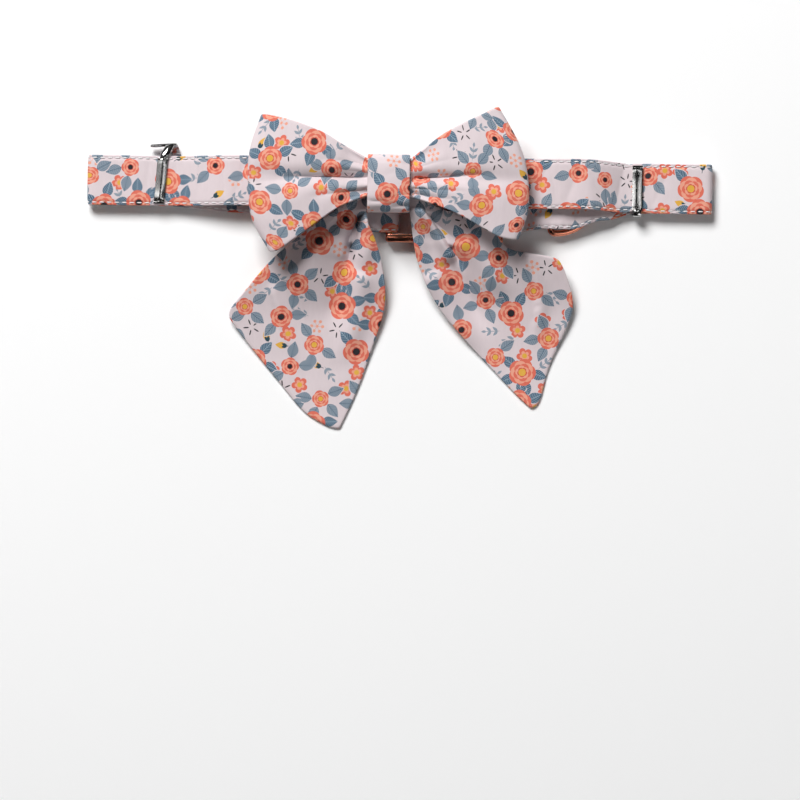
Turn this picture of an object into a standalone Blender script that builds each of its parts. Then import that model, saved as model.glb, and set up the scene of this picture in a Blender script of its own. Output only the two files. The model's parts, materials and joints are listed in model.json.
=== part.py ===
"""Pet bow tie collar, lying flat: a fabric strap pressed into a loop, a sailor bow with two
tails on its front strand, a metal buckle and a D-ring on its rear strand, and two steel clips.

Metres, +Z up. The collar lies on z = 0, its strap runs along X, and the tails point to -Y.
"""

import math

import bmesh
import bpy
from mathutils import Matrix, Vector

# Clearance between pieces that touch, and between a piece and the surface under it
GAP = 0.0003

# Strap
STRAP_WIDTH = 0.020
STRAP_THICKNESS = 0.0024
STRAP_EDGE = 0.0006
FOLDED_LENGTH = 0.2500
DOUBLED_BACK = 0.027
SEWN_PAST_RING = 0.003
REAR_SWAY = 0.0092

# Cloth of the bow and its tails, and of the band round the knot
CLOTH_WALL = 0.0012
KNOT_WALL = 0.0012

# Bow
BOW_X = -0.0045
BOW_Y = 0.0022
PINCH_HEIGHT = 0.0146
PLEAT_DEPTH = 0.0010
LOOP_DEPTH = 0.0100
LOOP_REACH_LEFT = 0.0470
LOOP_REACH_RIGHT = 0.0465
LOOP_RISE_LEFT = 0.0175
LOOP_RISE_RIGHT = 0.0220
LOOP_DROP_LEFT = 0.0232
LOOP_DROP_RIGHT = 0.0168
CREASE_DEPTH = 0.0026

# Tails
TAIL_HEAD = 0.0072
TAIL_PLEAT_DEPTH = 0.0007
TAIL_FLOOR_LIFT = 0.0002
TAIL_REACH_LEFT = 0.0878
TAIL_REACH_RIGHT = 0.0786
TAIL_SPREAD_LEFT = 0.0545
TAIL_SPREAD_RIGHT = 0.0655
TAIL_FOLD_DEPTH = 0.0008

# Knot band
KNOT_WIDTH = 0.0168
KNOT_CROWN = 0.0010
KNOT_CORNER = 0.0026

# Buckle
BUCKLE_X = 0.0180
BUCKLE_LENGTH = 0.0468
BUCKLE_WIDTH = 0.0276
BUCKLE_BAR = 0.0026
BUCKLE_RAIL = 0.0032
BUCKLE_WALL = 0.0013
BUCKLE_WINDOW = 0.0085
BUCKLE_ROUNDING = 0.0009
TONGUE_STEP = 0.0016
TONGUE_RIM = 0.0019
SOCKET_WINDOW = 0.0053
PRONG_LENGTH = 0.0215
PRONG_WIDTH = 0.0030
BUTTON_LENGTH = 0.0080

# D-ring
RING_X = 0.0604
RING_WIRE = 0.0026
RING_REACH = 0.0165
RING_CORNER = 0.0018
RING_PLAY = 0.0003
RING_SWAY = 0.0068

# Clips
CLIP_INSET = 0.0302
CLIP_WIDTH = 0.0042
CLIP_LEAN = 0.0058
CLIP_STEEL = 0.0007
CLIP_NECK = 0.0034
CLIP_HEAD_RISE = 0.0042
CLIP_BEND_RISE = 0.0004
CLIP_LIP_DEPTH = 0.0011
CLIP_LIP_LENGTH = 0.0088
CLIP_LIP_WIDTH = 0.0034

# Places and heights that follow from the sizes above
CLIP_X = FOLDED_LENGTH / 2 - CLIP_INSET
HALF_STRAP = STRAP_THICKNESS / 2
LOW_LAYER_Z = GAP + HALF_STRAP
BAR_Z = GAP + STRAP_THICKNESS + GAP + BUCKLE_BAR / 2
BUCKLE_TOP = 2 * BAR_Z
OVER_BAR_Z = BAR_Z + BUCKLE_BAR / 2 + GAP + HALF_STRAP
RING_BAR_Z = GAP + STRAP_THICKNESS + GAP + RING_WIRE / 2
OVER_RING_Z = RING_BAR_Z + RING_WIRE / 2 + GAP + HALF_STRAP
SEWN_Z = LOW_LAYER_Z + STRAP_THICKNESS + GAP
REAR_Z = CLIP_STEEL + GAP + HALF_STRAP
FRONT_END_Z = REAR_Z + STRAP_THICKNESS + GAP
FOLD_RADIUS = (FRONT_END_Z - REAR_Z) / 2
KNOT_FLOOR = max(BUCKLE_TOP, OVER_RING_Z + HALF_STRAP) + GAP
FRONT_Z = KNOT_FLOOR + KNOT_WALL + GAP + HALF_STRAP
HEAD_DEPTH = CLOTH_WALL + 2 * TAIL_PLEAT_DEPTH
LAYER_DEPTH = CLOTH_WALL + 2 * PLEAT_DEPTH
HEAD_Z = FRONT_Z + HALF_STRAP + GAP + HEAD_DEPTH / 2
BACK_LAYER_Z = HEAD_Z + HEAD_DEPTH / 2 + GAP + LAYER_DEPTH / 2
FRONT_LAYER_Z = BACK_LAYER_Z + LAYER_DEPTH + GAP
KNOT_ROOF = FRONT_LAYER_Z + LAYER_DEPTH / 2 + GAP
BUCKLE_LEFT = BUCKLE_X - BUCKLE_LENGTH / 2
BUCKLE_RIGHT = BUCKLE_X + BUCKLE_LENGTH / 2
LEFT_BAR_X = BUCKLE_LEFT + BUCKLE_BAR / 2
RIGHT_BAR_X = BUCKLE_RIGHT - BUCKLE_BAR / 2
BAR_TURN = BUCKLE_BAR / 2 + GAP + HALF_STRAP
FOLD_X = FOLDED_LENGTH / 2 - FOLD_RADIUS - HALF_STRAP
RING_HALF = STRAP_WIDTH / 2 + RING_PLAY + RING_WIRE / 2

HARD_EDGE_DEGREES = 40

ROSE_GOLD = (0.72, 0.36, 0.26, 1.0)
STEEL = (0.62, 0.62, 0.63, 1.0)
PRINTED_CLOTH = (0.74, 0.62, 0.60, 1.0)


def clear_scene():
    for obj in list(bpy.data.objects):
        bpy.data.objects.remove(obj, do_unlink=True)


def collection(name):
    made = bpy.data.collections.new(name)
    bpy.context.scene.collection.children.link(made)
    return made


def finish_of(name, color, roughness, metallic):
    """A material of the sub-part's own colour, roughness and metal."""
    made = bpy.data.materials.new(name)
    made.use_nodes = True
    shader = made.node_tree.nodes["Principled BSDF"]
    shader.inputs["Base Color"].default_value = color
    shader.inputs["Roughness"].default_value = roughness
    shader.inputs["Metallic"].default_value = metallic
    return made


def mesh_object(name, bm, into, finish=None):
    """A new object from a bmesh, shaded smooth but for its hard edges."""
    mesh = bpy.data.meshes.new(name)
    bm.to_mesh(mesh)
    bm.free()
    mesh.shade_smooth()
    mesh.set_sharp_from_angle(angle=math.radians(HARD_EDGE_DEGREES))
    obj = bpy.data.objects.new(name, mesh)
    into.objects.link(obj)
    if finish:
        mesh.materials.append(finish)
    return obj


def ease(share):
    return share * share * (3 - 2 * share)


def read_table(rows, at, column=1):
    """The value at a place along a table whose first column rises, eased between its rows."""
    if at <= rows[0][0]:
        return rows[0][column]
    for low, high in zip(rows, rows[1:]):
        if at <= high[0]:
            share = (at - low[0]) / (high[0] - low[0])
            return low[column] + (high[column] - low[column]) * ease(share)
    return rows[-1][column]


def smooth_line(points, count):
    """Points spaced evenly by parameter along a smooth curve through the given points."""
    padded = [2 * points[0] - points[1], *points, 2 * points[-1] - points[-2]]
    spans = len(points) - 1
    line = []
    for i in range(count):
        at = spans * i / (count - 1)
        k = min(int(at), spans - 1)
        t = at - k
        a, b, c, d = padded[k : k + 4]
        bend = 2 * a - 5 * b + 4 * c - d
        twist = 3 * b - a - 3 * c + d
        line.append(0.5 * (2 * b + (c - a) * t + bend * t**2 + twist * t**3))
    return line


def loft(rings):
    """A closed solid through rings of as many points each."""
    bm = bmesh.new()
    made = [[bm.verts.new(p) for p in ring] for ring in rings]
    sides = len(rings[0])
    for low, high in zip(made, made[1:]):
        for i in range(sides):
            j = (i + 1) % sides
            bm.faces.new((low[i], low[j], high[j], high[i]))
    bm.faces.new(reversed(made[0]))
    bm.faces.new(made[-1])
    bmesh.ops.recalc_face_normals(bm, faces=bm.faces)
    return bm


def grid(rows, closed=False):
    """An open surface through rows of points, or one whose last row meets its first."""
    bm = bmesh.new()
    made = [[bm.verts.new(p) for p in row] for row in rows]
    pairs = list(zip(made, made[1:]))
    if closed:
        pairs.append((made[-1], made[0]))
    for low, high in pairs:
        for i in range(len(low) - 1):
            bm.faces.new((low[i], low[i + 1], high[i + 1], high[i]))
    bmesh.ops.recalc_face_normals(bm, faces=bm.faces)
    return bm


def add_wall(obj, thickness):
    wall = obj.modifiers.new("wall", "SOLIDIFY")
    wall.thickness = thickness
    wall.offset = 0


# The strap

# Sway of the rear strand towards -Y: place along X, share of REAR_SWAY
REAR_LINE = [
    (-CLIP_X, 0.0),
    (-0.66 * CLIP_X, 0.24 * REAR_SWAY),
    (LEFT_BAR_X - DOUBLED_BACK, 0.82 * REAR_SWAY),
    (BUCKLE_LEFT, REAR_SWAY),
    (BUCKLE_RIGHT, REAR_SWAY),
    (RING_X - 0.14 * RING_REACH, RING_SWAY),
    (RING_X + 0.46 * RING_REACH, RING_SWAY),
    (0.86 * CLIP_X, 0.33 * REAR_SWAY),
    (CLIP_X, 0.0),
]

# Height of the rear strand: place along X, height of its middle
REAR_HEIGHTS = [
    (-CLIP_X - CLIP_WIDTH, REAR_Z),
    (-CLIP_X + CLIP_WIDTH, REAR_Z),
    (-0.62 * CLIP_X, LOW_LAYER_Z),
    (LEFT_BAR_X - 1.30 * DOUBLED_BACK, SEWN_Z),
    (LEFT_BAR_X - 0.45 * DOUBLED_BACK, SEWN_Z),
    (LEFT_BAR_X, OVER_BAR_Z),
]
RING_SIDE_HEIGHTS = [
    (RIGHT_BAR_X, OVER_BAR_Z),
    (RIGHT_BAR_X + 0.45 * (RING_X - RIGHT_BAR_X), SEWN_Z),
    (RING_X - 0.9 * RING_WIRE, OVER_RING_Z),
    (RING_X + 1.1 * RING_WIRE, OVER_RING_Z),
    (RING_X + 0.66 * RING_REACH, RING_WIRE + GAP + STRAP_THICKNESS),
    (RING_X + RING_REACH + RING_WIRE, RING_WIRE + GAP + STRAP_THICKNESS),
    (CLIP_X - CLIP_WIDTH, REAR_Z),
    (CLIP_X + CLIP_WIDTH, REAR_Z),
]

# The front strand: place along X, height as a share from its ends to the knot, rise in Y
FRONT_SHAPE = [
    (-CLIP_X + 0.7 * CLIP_WIDTH, 0.00, 0.0000),
    (-0.68 * CLIP_X, 0.66, 0.0006),
    (-0.44 * CLIP_X, 0.92, 0.0004),
    (BOW_X - 0.7 * KNOT_WIDTH, 1.00, 0.0000),
    (BOW_X + 0.7 * KNOT_WIDTH, 1.00, 0.0000),
    (0.56 * CLIP_X, 0.99, 0.0010),
    (0.78 * CLIP_X, 0.84, 0.0012),
    (CLIP_X - 0.7 * CLIP_WIDTH, 0.00, 0.0000),
]
STATIONS_FRONT = 46
STATIONS_REAR = 22
FOLD_STEPS = 8


def front_middle(x):
    """Height and Y of the front strand's middle at a place along X."""
    height = FRONT_END_Z + (FRONT_Z - FRONT_END_Z) * read_table(FRONT_SHAPE, x, 1)
    return height, read_table(FRONT_SHAPE, x, 2)


def rear_middle(x):
    """Height and Y of the rear strand's upper layer at a place along X."""
    heights = REAR_HEIGHTS if x < BUCKLE_X else RING_SIDE_HEIGHTS
    return read_table(heights, x), -read_table(REAR_LINE, x)


def turn(centre_x, centre_z, radius, start, stop, steps):
    """The middle of the strap round a bar or a fold, between two angles in degrees."""
    line = []
    for i in range(1, steps):
        angle = math.radians(start + (stop - start) * i / steps)
        line.append((centre_x + radius * math.cos(angle), centre_z + radius * math.sin(angle)))
    return line


def strap_line():
    """The middle of the strap, from the end sewn back at the left bar to the one at the right."""
    line = []

    def add(x, z, y):
        line.append(Vector((x, y, z)))

    low_left = LEFT_BAR_X - DOUBLED_BACK
    for i in range(6):
        x = low_left + DOUBLED_BACK * i / 5
        add(x, LOW_LAYER_Z, rear_middle(x)[1])
    for x, z in turn(LEFT_BAR_X, BAR_Z, BAR_TURN, -90, 90, FOLD_STEPS):
        add(x, z, -REAR_SWAY)
    for i in range(STATIONS_REAR + 1):
        x = LEFT_BAR_X + (-FOLD_X - LEFT_BAR_X) * i / STATIONS_REAR
        z, y = rear_middle(x)
        add(x, z, y)
    for x, z in turn(-FOLD_X, REAR_Z + FOLD_RADIUS, FOLD_RADIUS, 270, 90, FOLD_STEPS):
        add(x, z, 0)
    for i in range(STATIONS_FRONT + 1):
        x = -FOLD_X + 2 * FOLD_X * i / STATIONS_FRONT
        z, y = front_middle(x)
        add(x, z, y)
    for x, z in turn(FOLD_X, REAR_Z + FOLD_RADIUS, FOLD_RADIUS, 90, -90, FOLD_STEPS):
        add(x, z, 0)
    for i in range(STATIONS_REAR + 1):
        x = FOLD_X + (RIGHT_BAR_X - FOLD_X) * i / STATIONS_REAR
        z, y = rear_middle(x)
        add(x, z, y)
    for x, z in turn(RIGHT_BAR_X, BAR_Z, BAR_TURN, 90, 270, FOLD_STEPS):
        add(x, z, -REAR_SWAY)
    low_right = RING_X + SEWN_PAST_RING
    for i in range(6):
        x = RIGHT_BAR_X + (low_right - RIGHT_BAR_X) * i / 5
        add(x, LOW_LAYER_Z, rear_middle(x)[1])
    return line


def strap_ring(middle, along):
    """The eight corners of the strap's section, its width along Y and its wall across the line."""
    across = Vector((-along.z, 0, along.x)).normalized()
    half_width, half_wall = STRAP_WIDTH / 2, HALF_STRAP
    corners = [
        (half_width - STRAP_EDGE, half_wall),
        (half_width, half_wall - STRAP_EDGE),
        (half_width, STRAP_EDGE - half_wall),
        (half_width - STRAP_EDGE, -half_wall),
        (STRAP_EDGE - half_width, -half_wall),
        (-half_width, STRAP_EDGE - half_wall),
        (-half_width, half_wall - STRAP_EDGE),
        (STRAP_EDGE - half_width, half_wall),
    ]
    return [middle + Vector((0, y, 0)) + across * n for y, n in corners]


def make_strap(into, finish):
    line = strap_line()
    rings = []
    for i, middle in enumerate(line):
        before = line[max(i - 1, 0)]
        after = line[min(i + 1, len(line) - 1)]
        rings.append(strap_ring(middle, after - before))
    return mesh_object("strap", loft(rings), into, finish)


# The bow: a flat tube of cloth, open along its top and bottom edges, pinched at the knot

# Edges of a loop from the knot to its outer fold: share of the reach, share of the rise or drop
LEFT_TOP_EDGE = [(0.0, 0.0), (0.24, 0.36), (0.40, 0.60), (0.72, 0.87), (1.0, 1.0)]
LEFT_BOTTOM_EDGE = [(0.0, 0.0), (0.25, 0.20), (0.57, 0.60), (0.88, 0.94), (1.0, 1.0)]
RIGHT_TOP_EDGE = [(0.0, 0.0), (0.26, 0.42), (0.52, 0.68), (0.80, 0.87), (1.0, 1.0)]
RIGHT_BOTTOM_EDGE = [(0.0, 0.0), (0.30, 0.26), (0.48, 0.46), (0.80, 0.90), (1.0, 1.0)]

# Outer fold across the cloth, from the bottom edge to the top: place across, share of the reach
LEFT_FOLD = [(-1.0, 0.81), (-0.55, 0.965), (0.0, 1.0), (0.45, 0.985), (1.0, 0.895)]
RIGHT_FOLD = [(-1.0, 0.925), (-0.55, 1.0), (0.0, 1.0), (0.45, 0.93), (1.0, 0.74)]

# Depth of a loop from the knot outwards: share of the reach, share of LOOP_DEPTH
LOOP_SWELL = [(0.0, 0.0), (0.12, 0.22), (0.30, 0.78), (0.52, 1.0), (0.75, 0.90), (1.0, 0.55)]

# Where the layers are cut across, as shares of the reach
LAYER_STATIONS = (0.04, 0.11, 0.19, 0.28, 0.38, 0.50, 0.62, 0.74, 0.84, 0.92)
FOLD_ANGLES = (60, 20, -20, -60)
ACROSS = 19
PLEAT_WAVES = 2.5
PLEAT_REACH = 0.42
# The crease along the middle of a loop: half width across, and its depth in the back layer
CREASE_SPREAD = 0.16
BACK_CREASE = 0.35
# How far a loop has closed at its open edges, and how high it rests on the strap
EDGE_CLOSING = 0.30
LOOP_REST = 0.72
KNOT_HALF = KNOT_WIDTH / 2


def smooth_reading(rows, at):
    """Reading of a two-column table by a smooth curve through its rows."""
    k = 0
    while k < len(rows) - 2 and at > rows[k + 1][0]:
        k += 1
    slopes = []
    for i in range(len(rows)):
        low, high = rows[max(i - 1, 0)], rows[min(i + 1, len(rows) - 1)]
        slopes.append((high[1] - low[1]) / (high[0] - low[0]))
    (x0, y0), (x1, y1) = rows[k], rows[k + 1]
    span = x1 - x0
    t = (at - x0) / span
    rise = (2 * t**3 - 3 * t**2 + 1) * y0 + (3 * t**2 - 2 * t**3) * y1
    return rise + span * ((t**3 - 2 * t**2 + t) * slopes[k] + (t**3 - t**2) * slopes[k + 1])


def pleat(across):
    """Height of the pinched cloth's pleats at a place across."""
    return PLEAT_DEPTH * math.cos(math.pi * PLEAT_WAVES * across)


def loop_height(share, across, layer):
    """Height of a loop's cloth at a share of its reach and a place across.

    layer is +1 for the front layer of the tube and -1 for the back layer.
    """
    middle = (FRONT_LAYER_Z + BACK_LAYER_Z) / 2
    rest = FRONT_Z + HALF_STRAP + LOOP_DEPTH * LOOP_REST
    middle += (rest - middle) * ease(min(share / 0.6, 1.0))
    pinch = (FRONT_LAYER_Z - BACK_LAYER_Z) / 2
    swell = read_table(LOOP_SWELL, share) * LOOP_DEPTH / 2
    half = pinch * (1 - ease(min(share / 0.5, 1.0))) + swell * (1 - EDGE_CLOSING * across**2)
    crease = CREASE_DEPTH * math.exp(-((across / CREASE_SPREAD) ** 2))
    crease *= ease(min(share / 0.15, 1.0)) * (1 - 0.62 * share)
    if layer < 0:
        crease *= BACK_CREASE
    return middle + layer * (half - crease) + pleat(across) * (1 - ease(min(share / PLEAT_REACH, 1.0)))


def loop_point(share, across, layer, side):
    """A point of a loop's cloth. side is -1 for the left loop and +1 for the right."""
    left = side < 0
    reach = LOOP_REACH_LEFT if left else LOOP_REACH_RIGHT
    rise = LOOP_RISE_LEFT if left else LOOP_RISE_RIGHT
    drop = LOOP_DROP_LEFT if left else LOOP_DROP_RIGHT
    top_edge = LEFT_TOP_EDGE if left else RIGHT_TOP_EDGE
    bottom_edge = LEFT_BOTTOM_EDGE if left else RIGHT_BOTTOM_EDGE
    top = PINCH_HEIGHT / 2 + rise * smooth_reading(top_edge, share)
    low = PINCH_HEIGHT / 2 + drop * smooth_reading(bottom_edge, share)
    far = smooth_reading(LEFT_FOLD if left else RIGHT_FOLD, across)
    x = BOW_X + side * (KNOT_HALF + reach * share * (1 + (far - 1) * share))
    y = BOW_Y + (top if across > 0 else low) * across
    return Vector((x, y, loop_height(share, across, layer)))


def loop_rows(side):
    """Rows of the cloth from the knot, out along the front layer, round the fold and back."""
    places = [-1 + 2 * i / (ACROSS - 1) for i in range(ACROSS)]
    rows = [[loop_point(s, v, 1, side) for v in places] for s in LAYER_STATIONS]
    last = LAYER_STATIONS[-1]
    for angle in FOLD_ANGLES:
        lift = math.sin(math.radians(angle))
        share = last + (1 - last) * math.cos(math.radians(angle))
        row = []
        for v in places:
            front = loop_point(last, v, 1, side)
            back = loop_point(last, v, -1, side)
            point = loop_point(share, v, 1, side)
            point.z = (front.z + back.z) / 2 + lift * (front.z - back.z) / 2
            row.append(point)
        rows.append(row)
    rows += [[loop_point(s, v, -1, side) for v in places] for s in reversed(LAYER_STATIONS)]
    return rows


def pinch_rows(layer):
    """Rows of the pleated cloth inside the knot, from its right side to its left."""
    rows = []
    level = FRONT_LAYER_Z if layer > 0 else BACK_LAYER_Z
    for share in (1.0, 0.5, 0.0, -0.5, -1.0):
        x = BOW_X + share * KNOT_HALF
        row = []
        for i in range(ACROSS):
            across = -1 + 2 * i / (ACROSS - 1)
            row.append(Vector((x, BOW_Y + across * PINCH_HEIGHT / 2, level + pleat(across))))
        rows.append(row)
    return rows


def make_bow(into, finish):
    rows = pinch_rows(1) + loop_rows(-1) + pinch_rows(-1)[::-1] + loop_rows(1)[::-1]
    obj = mesh_object("bow", grid(rows, closed=True), into, finish)
    add_wall(obj, CLOTH_WALL)
    return obj


# The tails: each one a smooth surface between four sides, gathered at its head

# Inner side, outer side and far side of each tail, as shares of its spread and of its reach, from
# the lower end of its head. The outer side starts at the head's upper end.
LEFT_TAIL_SIDES = {
    "inner": [
        (0.000, 0.000),
        (0.006, 0.024),
        (-0.006, 0.052),
        (-0.112, 0.224),
        (-0.147, 0.434),
        (-0.042, 0.663),
        (0.057, 0.842),
        (0.169, 0.998),
    ],
    "outer": [(0.341, 0.060), (0.659, 0.219), (0.919, 0.408), (0.983, 0.461)],
    "far": [
        (0.983, 0.461),
        (0.996, 0.490),
        (0.974, 0.523),
        (0.840, 0.631),
        (0.640, 0.780),
        (0.442, 0.923),
        (0.281, 0.985),
        (0.207, 1.000),
        (0.169, 0.998),
    ],
}
RIGHT_TAIL_SIDES = {
    "inner": [
        (0.000, 0.000),
        (0.004, 0.030),
        (0.008, 0.060),
        (0.047, 0.258),
        (0.148, 0.445),
        (0.304, 0.616),
        (0.634, 0.907),
        (0.751, 0.997),
    ],
    "outer": [(0.368, 0.070), (0.663, 0.193), (0.884, 0.232), (0.945, 0.291)],
    "far": [
        (0.945, 0.291),
        (0.997, 0.424),
        (0.988, 0.541),
        (0.869, 0.776),
        (0.818, 0.940),
        (0.783, 0.992),
        (0.751, 0.997),
    ],
}
TAIL_DOWN = 18
TAIL_ACROSS = 15
HEAD_WAVES = 1.0
# Rows of a tail crowd towards its head, where it is gathered
ROW_CROWDING = 1.5

# Depth of a tail's gathers from the knot down: share of the way, share of TAIL_PLEAT_DEPTH
GATHER_FADE = [(0.0, 0.12), (0.06, 0.2), (0.18, 1.0), (0.42, 0.0)]

# Depth of the fold beside the inner edge from the knot down: share of the way, share of the depth
FOLD_FADE = [(0.03, 0.0), (0.16, 1.0), (0.70, 0.0)]
FOLD_PLACE = 0.30
FOLD_SPREAD = 0.14

# Fall of a tail from the buckle's edge to the surface: share of the way, share of the height
TAIL_FALL = [(0.0, 1.0), (0.22, 0.66), (0.45, 0.27), (0.70, 0.07), (1.0, 0.0)]


def spread_line(points, shares):
    """Points at shares of the length of a smooth curve through the given points."""
    fine = smooth_line([Vector(p) for p in points], 20 * len(points))
    along = [0.0]
    for a, b in zip(fine, fine[1:]):
        along.append(along[-1] + (b - a).length)
    line = []
    k = 0
    for place in shares:
        at = along[-1] * place
        while k < len(fine) - 2 and along[k + 1] < at:
            k += 1
        share = (at - along[k]) / (along[k + 1] - along[k])
        line.append(fine[k].lerp(fine[k + 1], share))
    return line


def tail_height(y, reach):
    """Height of a tail's cloth where it runs over the strap and the buckle, and down from there."""
    shelf_z = KNOT_FLOOR + CLOTH_WALL / 2 + TAIL_PLEAT_DEPTH
    shelf_y = -REAR_SWAY - BUCKLE_WIDTH / 2
    head_y = -STRAP_WIDTH / 2
    floor_z = TAIL_FLOOR_LIFT + CLOTH_WALL / 2
    if y > head_y:
        return HEAD_Z
    if y > shelf_y:
        return HEAD_Z + (shelf_z - HEAD_Z) * ease((y - head_y) / (shelf_y - head_y))
    fall = min((shelf_y - y) / (0.72 * reach), 1.0)
    return floor_z + (shelf_z - floor_z) * smooth_reading(TAIL_FALL, fall)


def head_gather(across):
    return TAIL_PLEAT_DEPTH * math.cos(2 * math.pi * HEAD_WAVES * across)


def tail_fold(down, across):
    """Gathers that spread from the head and one deep fold beside the inner edge."""
    fold = TAIL_FOLD_DEPTH * math.exp(-(((across - FOLD_PLACE) / FOLD_SPREAD) ** 2))
    return head_gather(across) * read_table(GATHER_FADE, down) - fold * read_table(FOLD_FADE, down)


def tail_head_rows(side, edge_x, head_y):
    """The gathered cloth of a tail inside the knot."""
    inside = BOW_X + side * (GAP + CLOTH_WALL / 2)
    rows = []
    for share in (0.0, 0.5):
        row = []
        for i in range(TAIL_ACROSS):
            across = i / (TAIL_ACROSS - 1)
            x = inside + (edge_x - inside) * share
            gather = head_gather(across) * (1 + (GATHER_FADE[0][1] - 1) * share)
            row.append(Vector((x, head_y + TAIL_HEAD * across, HEAD_Z + gather)))
        rows.append(row)
    return rows


def make_tail(name, side, into, finish):
    left = side < 0
    sides = LEFT_TAIL_SIDES if left else RIGHT_TAIL_SIDES
    spread = TAIL_SPREAD_LEFT if left else TAIL_SPREAD_RIGHT
    reach = TAIL_REACH_LEFT if left else TAIL_REACH_RIGHT
    edge_x = BOW_X + side * (KNOT_HALF + GAP)
    head_y = -STRAP_WIDTH / 2

    def placed(points):
        return [Vector((edge_x + side * spread * x, head_y - reach * y)) for x, y in points]

    downs = [(j / (TAIL_DOWN - 1)) ** ROW_CROWDING for j in range(TAIL_DOWN)]
    places = [i / (TAIL_ACROSS - 1) for i in range(TAIL_ACROSS)]
    inner = spread_line(placed(sides["inner"]), downs)
    outer = spread_line([Vector((edge_x, head_y + TAIL_HEAD)), *placed(sides["outer"])], downs)
    far = spread_line(placed(sides["far"]), places)[::-1]
    floor_z = TAIL_FLOOR_LIFT + CLOTH_WALL / 2
    rows = tail_head_rows(side, edge_x, head_y)
    for j, down in enumerate(downs):
        row = []
        for i, across in enumerate(places):
            spot = inner[j].lerp(outer[j], across) + down * (far[i] - far[0].lerp(far[-1], across))
            height = tail_height(spot.y, reach) + tail_fold(down, across)
            row.append(Vector((spot.x, spot.y, max(height, floor_z))))
        rows.append(row)
    obj = mesh_object(name, grid(rows), into, finish)
    add_wall(obj, CLOTH_WALL)
    return obj


# The knot band: a sleeve round the strap, the tails' heads and the pinch of the bow


def knot_section(crown):
    """The band's middle line in Y and Z, a rounded rectangle whose top is crowned."""
    half = STRAP_WIDTH / 2 + GAP + KNOT_WALL / 2
    low = KNOT_FLOOR + KNOT_WALL / 2
    high = KNOT_ROOF + KNOT_WALL / 2
    line = []
    corners = [
        (half, high, KNOT_CORNER, 0),
        (-half, high, KNOT_CORNER, 90),
        (-half, low, KNOT_WALL, 180),
        (half, low, KNOT_WALL, 270),
    ]
    for y, z, radius, start in corners:
        centre_y = y - math.copysign(radius, y)
        centre_z = z - math.copysign(radius, z - (low + high) / 2)
        for i in range(5):
            angle = math.radians(start + 90 * i / 4)
            line.append((centre_y + radius * math.cos(angle), centre_z + radius * math.sin(angle)))
    lifted = []
    for y, z in line:
        share = max(0.0, 1 - (y / half) ** 2)
        lifted.append((y, z + crown * share if z > (low + high) / 2 else z))
    return lifted


def make_knot_band(into, finish):
    rows = []
    for share, crown in ((-1.0, 0.0), (-0.55, 0.7), (0.0, 1.0), (0.55, 0.7), (1.0, 0.0)):
        x = BOW_X + share * KNOT_HALF
        section = knot_section(crown * KNOT_CROWN)
        rows.append([Vector((x, y, z)) for y, z in section])
    turned = [list(row) for row in zip(*rows)]
    obj = mesh_object("knot_band", grid(turned, closed=True), into, finish)
    add_wall(obj, KNOT_WALL)
    return obj


# The buckle


def rounded_box(name, low, high, rounding, into):
    """A box between two corners, its edges rounded."""
    bm = bmesh.new()
    bmesh.ops.create_cube(bm, size=1.0)
    size = Vector(high) - Vector(low)
    bmesh.ops.scale(bm, vec=size, verts=bm.verts)
    bmesh.ops.translate(bm, vec=(Vector(high) + Vector(low)) / 2, verts=bm.verts)
    obj = mesh_object(name, bm, into)
    if rounding:
        bevel = obj.modifiers.new("rounding", "BEVEL")
        bevel.width = rounding
        bevel.segments = 2
    return obj


def bar_along_y(name, x, z, radius, length, into):
    bm = bmesh.new()
    bmesh.ops.create_cone(bm, cap_ends=True, segments=16, radius1=radius, radius2=radius, depth=length)
    turned = Matrix.Translation((x, -REAR_SWAY, z)) @ Matrix.Rotation(math.pi / 2, 4, "X")
    bmesh.ops.transform(bm, matrix=turned, verts=bm.verts)
    return mesh_object(name, bm, into)


def combine(base, other, operation):
    step = base.modifiers.new(other.name, "BOOLEAN")
    step.operation = operation
    step.object = other
    step.solver = "EXACT"
    other.display_type = "WIRE"
    other.hide_render = True


def buckle_box(name, along, across, up, rounding, into):
    """A box of the buckle between two places along X, two across from its middle, and two heights."""
    low = (along[0], across[0] - REAR_SWAY, up[0])
    high = (along[1], across[1] - REAR_SWAY, up[1])
    return rounded_box(name, low, high, rounding, into)


def bar_of(base, name, x, tools):
    """Join the bar that the strap loops round to a half of the buckle."""
    length = BUCKLE_WIDTH - BUCKLE_RAIL
    combine(base, bar_along_y(name, x, BAR_Z, BUCKLE_BAR / 2, length, tools), "UNION")


HALF_BUCKLE = BUCKLE_WIDTH / 2
HALF_WINDOW = HALF_BUCKLE - BUCKLE_RAIL
TONGUE_END = BUCKLE_LEFT + BUCKLE_BAR + BUCKLE_WINDOW + TONGUE_RIM
PRONG_TIP = TONGUE_END + PRONG_LENGTH
PRONG_OUTER = HALF_BUCKLE - BUCKLE_WALL - GAP
PRONG_HEIGHTS = (BUCKLE_WALL + GAP, BUCKLE_TOP - BUCKLE_WALL - GAP)
BUTTON_HEIGHTS = (PRONG_HEIGHTS[0] + GAP, PRONG_HEIGHTS[1] - GAP)
THROUGH = (-GAP, BUCKLE_TOP + GAP)

# Each prong of the tongue: name, its two sides from the middle of the buckle
PRONGS = [
    ("prong_near", (-PRONG_OUTER, -PRONG_OUTER + PRONG_WIDTH)),
    ("prong_middle", (-PRONG_WIDTH / 2, PRONG_WIDTH / 2)),
    ("prong_far", (PRONG_OUTER - PRONG_WIDTH, PRONG_OUTER)),
]

# Each button that is pressed to open the buckle: name, its two sides from the middle
BUTTONS = [
    ("button_near", (GAP - HALF_BUCKLE, GAP - PRONG_OUTER)),
    ("button_far", (PRONG_OUTER - GAP, HALF_BUCKLE - GAP)),
]


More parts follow.
